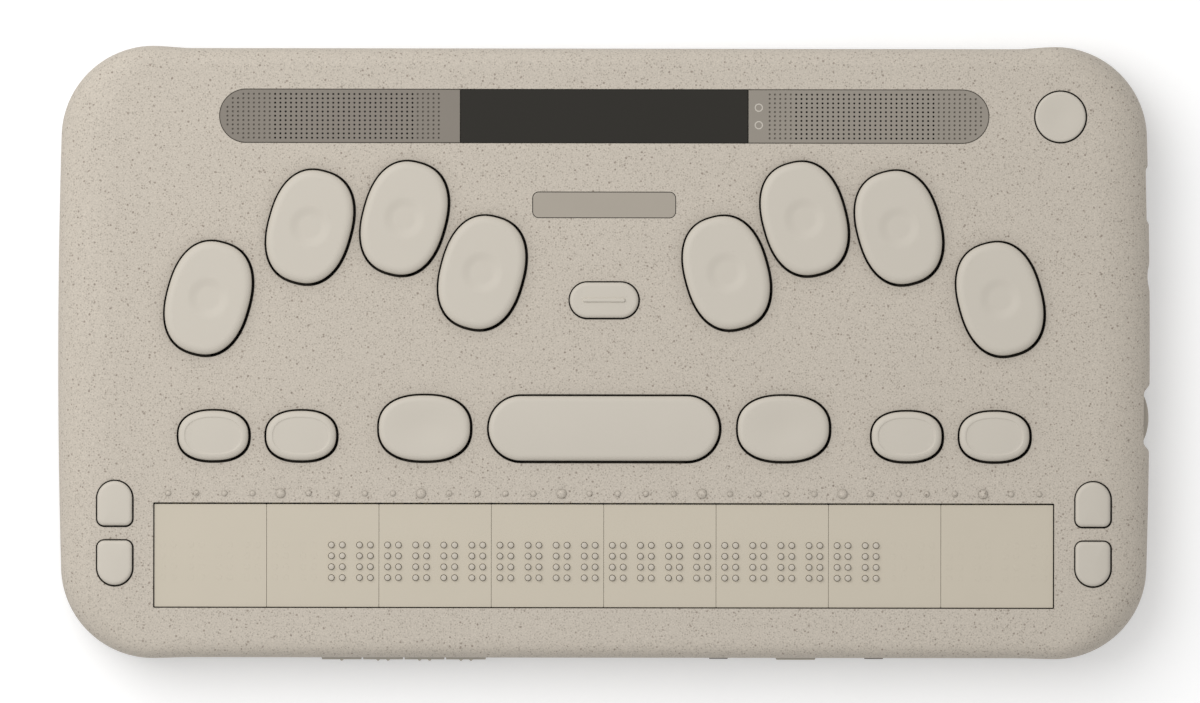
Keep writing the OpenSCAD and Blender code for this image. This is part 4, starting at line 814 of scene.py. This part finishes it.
# Wells for the screws' heads and shanks, with a post round each, and pockets for the feet
SCREWS = [(109.5, 59.98), (-109.5, 59.98), (109.5, -59.98), (-109.5, -59.98),
          (39.9, 64.08), (-39.9, 64.08)]
WELL_MOUTH, WELL_R, WELL_DEPTH, SHANK_R, POST_R = 2.5, 2.2, 3, 1.2, 3.1
FEET = [(x, y) for x in (-92.3, 92.3) for y in (-56.08, 56.08)]
POCKET_R, POCKET_DEPTH = 6.1, 0.6
well = loft([
    at(circle(WELL_MOUTH), UNDER - 0.5), at(circle(WELL_MOUTH), UNDER),
    at(circle(WELL_R), UNDER + 0.3), at(circle(WELL_R), UNDER + WELL_DEPTH),
    at(circle(SHANK_R), UNDER + WELL_DEPTH), at(circle(SHANK_R), SPLIT + 1)])
cutters += [moved(well, x, y) for x, y in SCREWS]
pocket = prism(circle(POCKET_R, 64), UNDER - 0.5, UNDER + POCKET_DEPTH)
cutters += [moved(pocket, x, y) for x, y in FEET]
post = prism(circle(POST_R), UNDER + WALL - 0.4, SPLIT - 0.05)
bottom = shown("shell_bottom", tub_solid())
combine(bottom, joined([moved(post, x, y) for x, y in SCREWS]), "UNION")
combine(bottom, joined(cutters), "DIFFERENCE")
combine(bottom, joined(notches), "DIFFERENCE")
piece(bottom, "case", "shell", [shell, painted_inside_shade], "bottom_case")
paint_inside_shade(bottom, UNDER + WALL - 0.01, SPLIT - 0.05, 1)
soften(bottom)

# Row of bumps over the cells, larger at every fifth


def dome(x, y, z, r, rise, n=24, steps=7, sink=0.4):
    """Part of a ball that stands out of a surface."""
    ball = (r * r + rise * rise) / (2 * rise)
    rings = [at(circle(r, n), z - sink)]
    for k in range(steps):
        h = rise * math.sin(math.pi / 2 * k / steps)
        rings.append(at(circle(math.sqrt(max(ball ** 2 - (ball - rise + h) ** 2, 0)), n), z + h))
    return moved(loft(rings), x, y)


def cell_x(i):
    """Middle of a cell, counted from 1 at the left."""
    return (i - (CELLS + 1) / 2) * CELL


SMALL_BUMP, LARGE_BUMP = 0.7, 1.15
bumps = []
for i in range(1, CELLS + 1):
    r = LARGE_BUMP if i % 5 == 0 else SMALL_BUMP
    bumps.append(dome(cell_x(i), INDEX_Y, TOP, r, 0.5 * r))
piece(soften(shown("index_bumps", joined(bumps), sharp=60)), "case", "shell", [shell])

# Keys


def cap_solid(k, x, y, shape, over, pad, count):
    """Key cap whose top follows a height function, shape, of the key's own x and y.

    Over is the width and height of its soft upper edge, pad the inset of a sunk pad or None, and
    count the number of rings from the edge to the middle.
    """
    outline, high, upper = k["outline"], TOP + k["rise"], TOP - 1.0
    wide, tall = over
    rings = [(outline(0), TAB_Z + 0.05), (outline(0), upper - 0.2), (outline(0), high - tall)]
    for a in range(10, 91, 10):
        t = math.radians(a)
        rings.append((outline(wide * (1 - math.cos(t))), high - tall * (1 - math.sin(t))))
    if pad:
        for t in (0.0, 0.25, 0.5, 0.75, 1.0):
            rings.append((outline(pad + PAD_SLOPE * t), high - PAD_DEPTH * smooth(t)))
        wide, high = pad + PAD_SLOPE, high - PAD_DEPTH
    inner = outline(wide)
    for i in range(1, count):
        s = 1 - i / count
        rings.append(([(p * s, q * s) for p, q in inner], high))
    lifted = []
    for points, z in rings:
        if z > upper:
            lifted.append([(p, q, z + shape(p, q)) for p, q in points])
        else:
            lifted.append(at(points, z))
    verts, faces = moved(loft(lifted), x, y, k["turn"])
    if k["follow"]:
        verts = [(p, q, z + (case_top(p, q) - TOP if z > upper else 0)) for p, q, z in verts]
    return verts, faces


def foot_solid(k, x, y):
    """Tabs that keep the key under the shell, and the stems that stand on the domes."""
    l, d = k["tabs"]
    tabs = block((-l / 2, -d / 2, TAB_Z), (l / 2, d / 2, TAB_Z + TAB_T))
    stems = [moved(prism(circle(STEM_D / 2, 32), STEM_Z, TAB_Z + 0.02), p) for p in k["stems"]]
    return moved(joined([tabs] + stems), x, y, k["turn"])


def dot_top(x, y):
    """Slight crown with a round dish in its middle."""
    crown, dish, floor_r, ramp = 0.02, 0.34, 2.3, 2.7
    fall = crown * ((2 * x / DOT_KEY[0]) ** 2 + (2 * y / DOT_KEY[1]) ** 2)
    return -fall - dish * (1 - smooth((math.hypot(x, y) - floor_r) / ramp))


def edit_top(x, y):
    """Wide shallow dish."""
    dish, half_x, half_y = 0.32, 9.2, 6.2
    return -dish * (1 - smooth(math.hypot(x / half_x, y / half_y)))


def space_top(x, y):
    """Top that falls off to its long sides and a little to its ends."""
    fall_y, half_y, fall_x, half_x = 0.25, 7.4, 0.06, 26.3
    return -fall_y * (y / half_y) ** 2 - fall_x * (x / half_x) ** 2


def power_top(x, y):
    """Round dish."""
    dish, reach = 0.2, 4.8
    return -dish * (1 - smooth(math.hypot(x, y) / reach))


def flat_top(x, y):
    """Nearly flat top."""
    fall, half_x, half_y = 0.08, 5, 6
    if abs(x) < half_x and abs(y) < half_y:
        return -fall * ((x / 5) ** 2 + (y / 5) ** 2)
    return -fall


# Top, soft edge (width and height), pad and number of rings, by the first word of the key's name
TOPS = {"dot": dot_top, "backspace": edit_top, "enter": edit_top, "space": space_top,
        "power": power_top}
OVERS = {"dot": (1.7, 1.2), "power": (0.6, 0.45), "home": (0.9, 0.7), "left": (0.9, 0.7),
         "right": (0.9, 0.7)}
PADS = {"function": PAD_IN}
COUNTS = {"dot": 44}
for name, k in KEYS.items():
    x, y = centre(name)
    kind = name.split("_")[0]
    solid = cap_solid(k, x, y, TOPS.get(kind, flat_top), OVERS.get(kind, (1.3, 1.0)),
                      PADS.get(kind), COUNTS.get(kind, 18))
    obj = shown(name + "_cap", solid, sharp=50)
    combine(obj, foot_solid(k, x, y), "UNION")
    piece(soften(obj), name, "key", [key, painted_inside_shade], name)
    # The tabs and stems get the painted shade, so that the gaps round the key look dark
    for face in obj.data.polygons:
        face.material_index = 1 if face.center.z < (TAB_Z + TAB_T) * MM + 1e-5 else 0

# Raised bar on the home key
BAR = (9.7, 0.9)
bar = loft([at(stadium(*BAR, inset, 10, 2), TOP + z)
            for inset, z in ((0, 0.3), (0, 0.75), (0.1, 0.9), (0.25, 0.95))])
bar = shown("home_key_bar", moved(bar, *centre("home_key")), sharp=60)
piece(soften(bar), "home_key", "key", [key])

# Cap plates of the braille line and its pins


def pin_places(first, last):
    """Place of every pin in some cells, with its row from the back."""
    return [(cell_x(i) + c * DOT / 2, FIRST_ROW - k * DOT, k)
            for i in range(first, last + 1) for c in (-1, 1) for k in range(4)]


plates = []
for m in range(CELLS // MODULE):
    first = m * MODULE + 1
    mid = (cell_x(first) + cell_x(first + MODULE - 1)) / 2
    holes = []
    for px, py, k in pin_places(first, first + MODULE - 1):
        cell = round(px / CELL + (CELLS + 1) / 2)
        clear, bevel = (PIN_CLEAR, 0.03) if FIRST_RAISED <= cell <= LAST_RAISED else (0.003, 0.0)
        holes.append((px, py, TIP_R + clear, bevel, None, 24))

    def outline(inset, mid=mid):
        points = round_box(MODULE * CELL - CAP_SEAM, CAP_BACK - CAP_FRONT, 0.15, inset, 3)
        return [(p + mid, q + CAP_MID) for p, q in points]

    plates.append(perforated(outline, holes, CAP_LOW, CAP_TOP, 0.06))
piece(soften(shown("cap_plates", joined(plates), sharp=30)), "case", "cap", [cap], "braille_caps")


def pin_solid(x, y, low, high, tip, crown, n=20):
    """Round pin with a soft rim and a slightly crowned end."""
    rings = [at(circle(TIP_R, n), low)]
    for k in range(6):
        a = math.pi / 2 * k / 5
        rings.append(at(circle(TIP_R - tip * (1 - math.cos(a)), n),
                        high - crown - tip * (1 - math.sin(a))))
    for k in range(1, 4):
        r = (TIP_R - tip) * (1 - k / 4)
        rings.append(at(circle(r, n), high - crown * (r / (TIP_R - tip)) ** 2))
    return moved(loft(rings), x, y)


PIN_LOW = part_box("lowered_pins_left")[0].z / MM
RISE = 0.7
GROUP = 4
groups = [("lowered_pins_left", 1, FIRST_RAISED - 1, 0.0),
          ("lowered_pins_right", LAST_RAISED + 1, CELLS, 0.0)]
for i in range((LAST_RAISED - FIRST_RAISED + 1) // GROUP):
    first = FIRST_RAISED + GROUP * i
    groups.append(("raised_pins_%d" % (i + 1), first, first + GROUP - 1, RISE))
for name, first, last, lift in groups:
    tip, crown = (0.22, 0.06) if lift else (0.004, 0.001)
    solids = [pin_solid(px, py, PIN_LOW + 3 - k + lift, CAP_TOP + lift, tip, crown)
              for px, py, k in pin_places(first, last)]
    tips = soften(shown(name + "_tips", joined(solids), sharp=40))
    piece(tips, name, "pin", [pin if lift else cap], name)

# Speaker grilles: open holes in the middle columns, shallow dimples at both ends
LIGHT_X, LIGHT_Y, LIGHT_R = 35.3, 2.0, 0.97
COLUMNS, ROWS, OPEN = 41, 5, range(5, 32)
DIMPLE = 0.4
STRIP_END = (STRIP_L - STRIP_D) / 2
plates = []
for side in (-1, 1):
    holes = []
    reach = STRIP_D / 2 - 1.1
    for i in range(COLUMNS):
        px = HOLE_FIRST + i * HOLE_X
        depth = None if i in OPEN else DIMPLE
        for j in range(-ROWS, ROWS + 1):
            if px < STRIP_END + 1 or math.hypot(px - STRIP_END, j * HOLE_Y) < reach:
                holes.append((side * px, STRIP_Y + j * HOLE_Y, HOLE_R, 0.04, depth, 12))
    if side > 0:
        holes += [(LIGHT_X, STRIP_Y + t * LIGHT_Y, LIGHT_R + 0.01, 0.0, None, 32) for t in (-1, 1)]

    def outline(inset, side=side):
        """Half of the strip beyond the window."""
        x0, r = WINDOW / 2 + 0.05 + inset, STRIP_D / 2 - 0.1 - inset
        points = [(x0, -r)] + arc(STRIP_END, 0, r, -90, 90, 32) + [(x0, r)]
        if side < 0:
            points = [(-p, q) for p, q in reversed(points)]
        return [(p, q + STRIP_Y) for p, q in points]

    plates.append(perforated(outline, holes, STRIP_Z, TOP, 0.12))
grilles = shown("grille_plates", joined(plates), sharp=30)
piece(grilles, "case", "grille", [grille, painted_shade_grille_left], "speaker_grilles")
# Faces left of the middle get the darker copy, a painted shade
for face in grilles.data.polygons:
    face.material_index = 1 if face.center.x < 0 else 0
soften(grilles)

# Status lights: a pale ring round the end of each light guide
LIGHT_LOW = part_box("status_lights")[0].z / MM
LIGHT_RING = 0.26
guides = []
for t in (-1, 1):
    rings = [at(circle(LIGHT_R, 32), LIGHT_LOW), at(circle(LIGHT_R, 32), TOP - 0.02),
             at(circle(LIGHT_R - 0.02, 32), TOP), at(circle(LIGHT_R - LIGHT_RING, 32), TOP),
             at(circle(LIGHT_R - LIGHT_RING - 0.02, 32), TOP - 0.03)]
    guides.append(moved(loft(rings), LIGHT_X, STRIP_Y + t * LIGHT_Y))
lights = shown("light_rings", joined(guides), sharp=30)
piece(lights, "case", "light_guide", [SLOTS["light_guide"], grille], "status_lights")
for face in lights.data.polygons:
    face.material_index = 1 if face.normal.z > 0.9 and face.center.z < (TOP - 0.01) * MM else 0
soften(lights)

# Rubber mat: its sheet is cut from the node, and a dome stands under each key
MAT_LOW, DOME_TOP = (v.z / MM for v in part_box("silicone_keymat"))
DOME_H, DOME_R, DOME_HOLE, DOME_CROWN = 2.4, 3.2, 2.33, 0.8
SHEET = DOME_TOP - DOME_H
welded = bmesh.new()
welded.from_mesh(frame["nodes"]["silicone_keymat"].data)
bmesh.ops.remove_doubles(welded, verts=welded.verts, dist=SAME_PLACE)
mesh = bpy.data.meshes.new("mat_sheet")
welded.to_mesh(mesh)
welded.free()
sheet = bpy.data.objects.new("mat_sheet", mesh)
bpy.context.scene.collection.objects.link(sheet)
combine(sheet, block((-HALF_W, -HALF_D, MAT_LOW - 1), (HALF_W, HALF_D, SHEET)), "INTERSECT")
piece(sheet, "case", "keymat", [SLOTS["keymat"]], "silicone_keymat")
soften(sheet)
dome_rings = [at(circle(STEM_D / 2 - DOME_CROWN), DOME_TOP - DOME_CROWN),
              at(circle(DOME_HOLE), SHEET), at(circle(DOME_R), SHEET),
              at(circle(STEM_D / 2 + 0.15), DOME_TOP - 0.2), at(circle(STEM_D / 2), DOME_TOP)]
for name, k in KEYS.items():
    x, y = centre(name)
    for i, stem in enumerate(k["stems"]):
        dome_piece = shown("%s_dome_%d" % (name, i + 1), moved(loft(dome_rings), x + stem, y),
                           sharp=40)
        soften(piece(dome_piece, "case", "keymat", [SLOTS["keymat"]]))
        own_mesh(dome_piece)

# Piezo reeds, which bend with the pins that stand on them
REED_W, REED_T, REED_STEP, REED_OVER = 1.94, 0.4, 1.0, 0.9
BLOCK_D, BLOCK_L, BLOCK_TOP = 5.0, 23.69, 3.9
low, high = (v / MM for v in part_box("braille_reeds"))
BLOCK_Y = high.y - BLOCK_D
REED_LOW = low.z + 0.3
ROOT = BLOCK_Y + 1.0
BEND = (BLOCK_Y - 0.4, max(py for px, py, k in pin_places(1, 1)) + 1.2)
MODULES = CELLS // MODULE
blocks = []
for m in range(MODULES):
    x = (m - (MODULES - 1) / 2) * MODULE * CELL
    blocks.append(block((x - BLOCK_L / 2, BLOCK_Y, low.z),
                        (x + BLOCK_L / 2, high.y, low.z + BLOCK_TOP)))
blocks = soften(shown("reed_blocks", joined(blocks)), 0.2)
piece(blocks, "case", "reed", [SLOTS["reed"]], "braille_reeds")


def reed_solid(x, y, k, lift):
    """Thin strip from its block to its pin, bent up where the pin is raised."""
    rings = []
    for i in range(17):
        t = ROOT + (y - REED_OVER - ROOT) * i / 16
        z = REED_LOW + (3 - k) * REED_STEP + lift * smooth((BEND[0] - t) / (BEND[0] - BEND[1]))
        x0, x1 = x - REED_W / 2, x + REED_W / 2
        rings.append([(x0, t, z), (x1, t, z), (x1, t, z + REED_T), (x0, t, z + REED_T)])
    return loft(rings)


for name, first, last, lift in groups:
    solids = [reed_solid(px, py, k, lift) for px, py, k in pin_places(first, last)]
    reeds = shown(name + "_reeds", joined(solids))
    piece(soften(reeds), None, "reed", [SLOTS["reed"]])
    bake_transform(reeds)

# Other nodes keep their solids and get their finish and soft edges
EDGES = {
    "lcd_window": 0.12, "nameplate": 0.15, "volume_rocker": 0.5, "front_button": 0.3,
    "lock_switch_knob": 0.25, "mode_switch_knob": 0.25, "usb_a_port": 0.12, "usb_c_port": 0.1,
    "headphone_jack": 0.15, "rubber_feet": 0.2, "case_screws": 0.1,
}
EDGES.update({"media_button_%d" % i: 0.3 for i in range(1, 5)})
slot_of = {s["node"]: s["material_slot"] for s in frame["record"]["subparts"]}
replaced = {n for o in bpy.data.objects for n in o.get("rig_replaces", [])}
for name, obj in frame["nodes"].items():
    obj.data.materials.clear()
    obj.data.materials.append(SLOTS[slot_of[name]])
    if name not in replaced:
        shaded(obj)
        soften(obj, EDGES.get(name, 0.0))

# Floor, light and camera, in metres and watts
SPREAD = 3.0
FLOOR_TONE, FLOOR_GLOW = 0.86, 0.28
AMBIENT = 0.555
SOFTBOX_PLACE, SOFTBOX_TARGET = (-0.36, 0.3, 0.66), (0, 0, 0.02)
SOFTBOX_SIZE, SOFTBOX_POWER = 0.84, 4.0
VIEW_PLACE, VIEW_TURN, LENS = (-0.000914, 0.000228, 3.02), 0.08, 393.9
mesh = bpy.data.meshes.new("floor")
mesh.from_pydata([(-SPREAD, -SPREAD, 0), (SPREAD, -SPREAD, 0), (SPREAD, SPREAD, 0),
                  (-SPREAD, SPREAD, 0)], [], [(0, 1, 2, 3)])
floor = bpy.data.objects.new("floor", mesh)
bpy.context.scene.collection.objects.link(floor)
look = bpy.data.materials.new("white_floor")
look.use_nodes = True
tree = look.node_tree
tree.nodes.remove(tree.nodes["Principled BSDF"])
diffuse = tree.nodes.new("ShaderNodeBsdfDiffuse")
diffuse.inputs["Color"].default_value = (FLOOR_TONE, FLOOR_TONE, FLOOR_TONE, 1)
glow = tree.nodes.new("ShaderNodeEmission")
both = tree.nodes.new("ShaderNodeAddShader")
path = tree.nodes.new("ShaderNodeLightPath")
lift = tree.nodes.new("ShaderNodeMath")
lift.operation = "MULTIPLY"
lift.inputs[1].default_value = FLOOR_GLOW
tree.links.new(path.outputs["Is Camera Ray"], lift.inputs[0])
tree.links.new(lift.outputs["Value"], glow.inputs["Strength"])
tree.links.new(diffuse.outputs["BSDF"], both.inputs[0])
tree.links.new(glow.outputs["Emission"], both.inputs[1])
tree.links.new(both.outputs["Shader"], tree.nodes["Material Output"].inputs["Surface"])
mesh.materials.append(look)

world = bpy.data.worlds.new("studio")
bpy.context.scene.world = world
world.use_nodes = True
tree = world.node_tree
ambient = tree.nodes["Background"]
ambient.inputs["Color"].default_value = (1.0, 1.0, 1.0, 1)
ambient.inputs["Strength"].default_value = AMBIENT
white = tree.nodes.new("ShaderNodeBackground")
white.inputs["Strength"].default_value = 1.0
path = tree.nodes.new("ShaderNodeLightPath")
seen = tree.nodes.new("ShaderNodeMath")
seen.operation = "MAXIMUM"
seen_more = tree.nodes.new("ShaderNodeMath")
seen_more.operation = "MAXIMUM"
mix = tree.nodes.new("ShaderNodeMixShader")
tree.links.new(path.outputs["Is Camera Ray"], seen.inputs[0])
tree.links.new(path.outputs["Is Glossy Ray"], seen.inputs[1])
tree.links.new(seen.outputs["Value"], seen_more.inputs[0])
tree.links.new(path.outputs["Is Transmission Ray"], seen_more.inputs[1])
tree.links.new(seen_more.outputs["Value"], mix.inputs["Fac"])
tree.links.new(ambient.outputs["Background"], mix.inputs[1])
tree.links.new(white.outputs["Background"], mix.inputs[2])
tree.links.new(mix.outputs["Shader"], tree.nodes["World Output"].inputs["Surface"])


def lamp(name, place, target, size, power):
    """Round area light that faces a target."""
    light = bpy.data.lights.new(name, "AREA")
    light.shape, light.size, light.energy = "DISK", size, power
    obj = bpy.data.objects.new(name, light)
    bpy.context.scene.collection.objects.link(obj)
    obj.location = place
    obj.rotation_euler = (Vector(target) - Vector(place)).to_track_quat("-Z", "Y").to_euler()
    return obj


softbox = lamp("softbox", SOFTBOX_PLACE, SOFTBOX_TARGET, SOFTBOX_SIZE, SOFTBOX_POWER)
softbox.visible_camera = False

camera = bpy.data.cameras.new("camera")
camera.sensor_width = 36.0
camera.lens = LENS
view = bpy.data.objects.new("camera", camera)
bpy.context.scene.collection.objects.link(view)
view.location = VIEW_PLACE
view.rotation_euler = (0, 0, math.radians(VIEW_TURN))
camera.clip_end = 20.0
bpy.context.scene.camera = view
bpy.context.scene.view_settings.view_transform = "Standard"
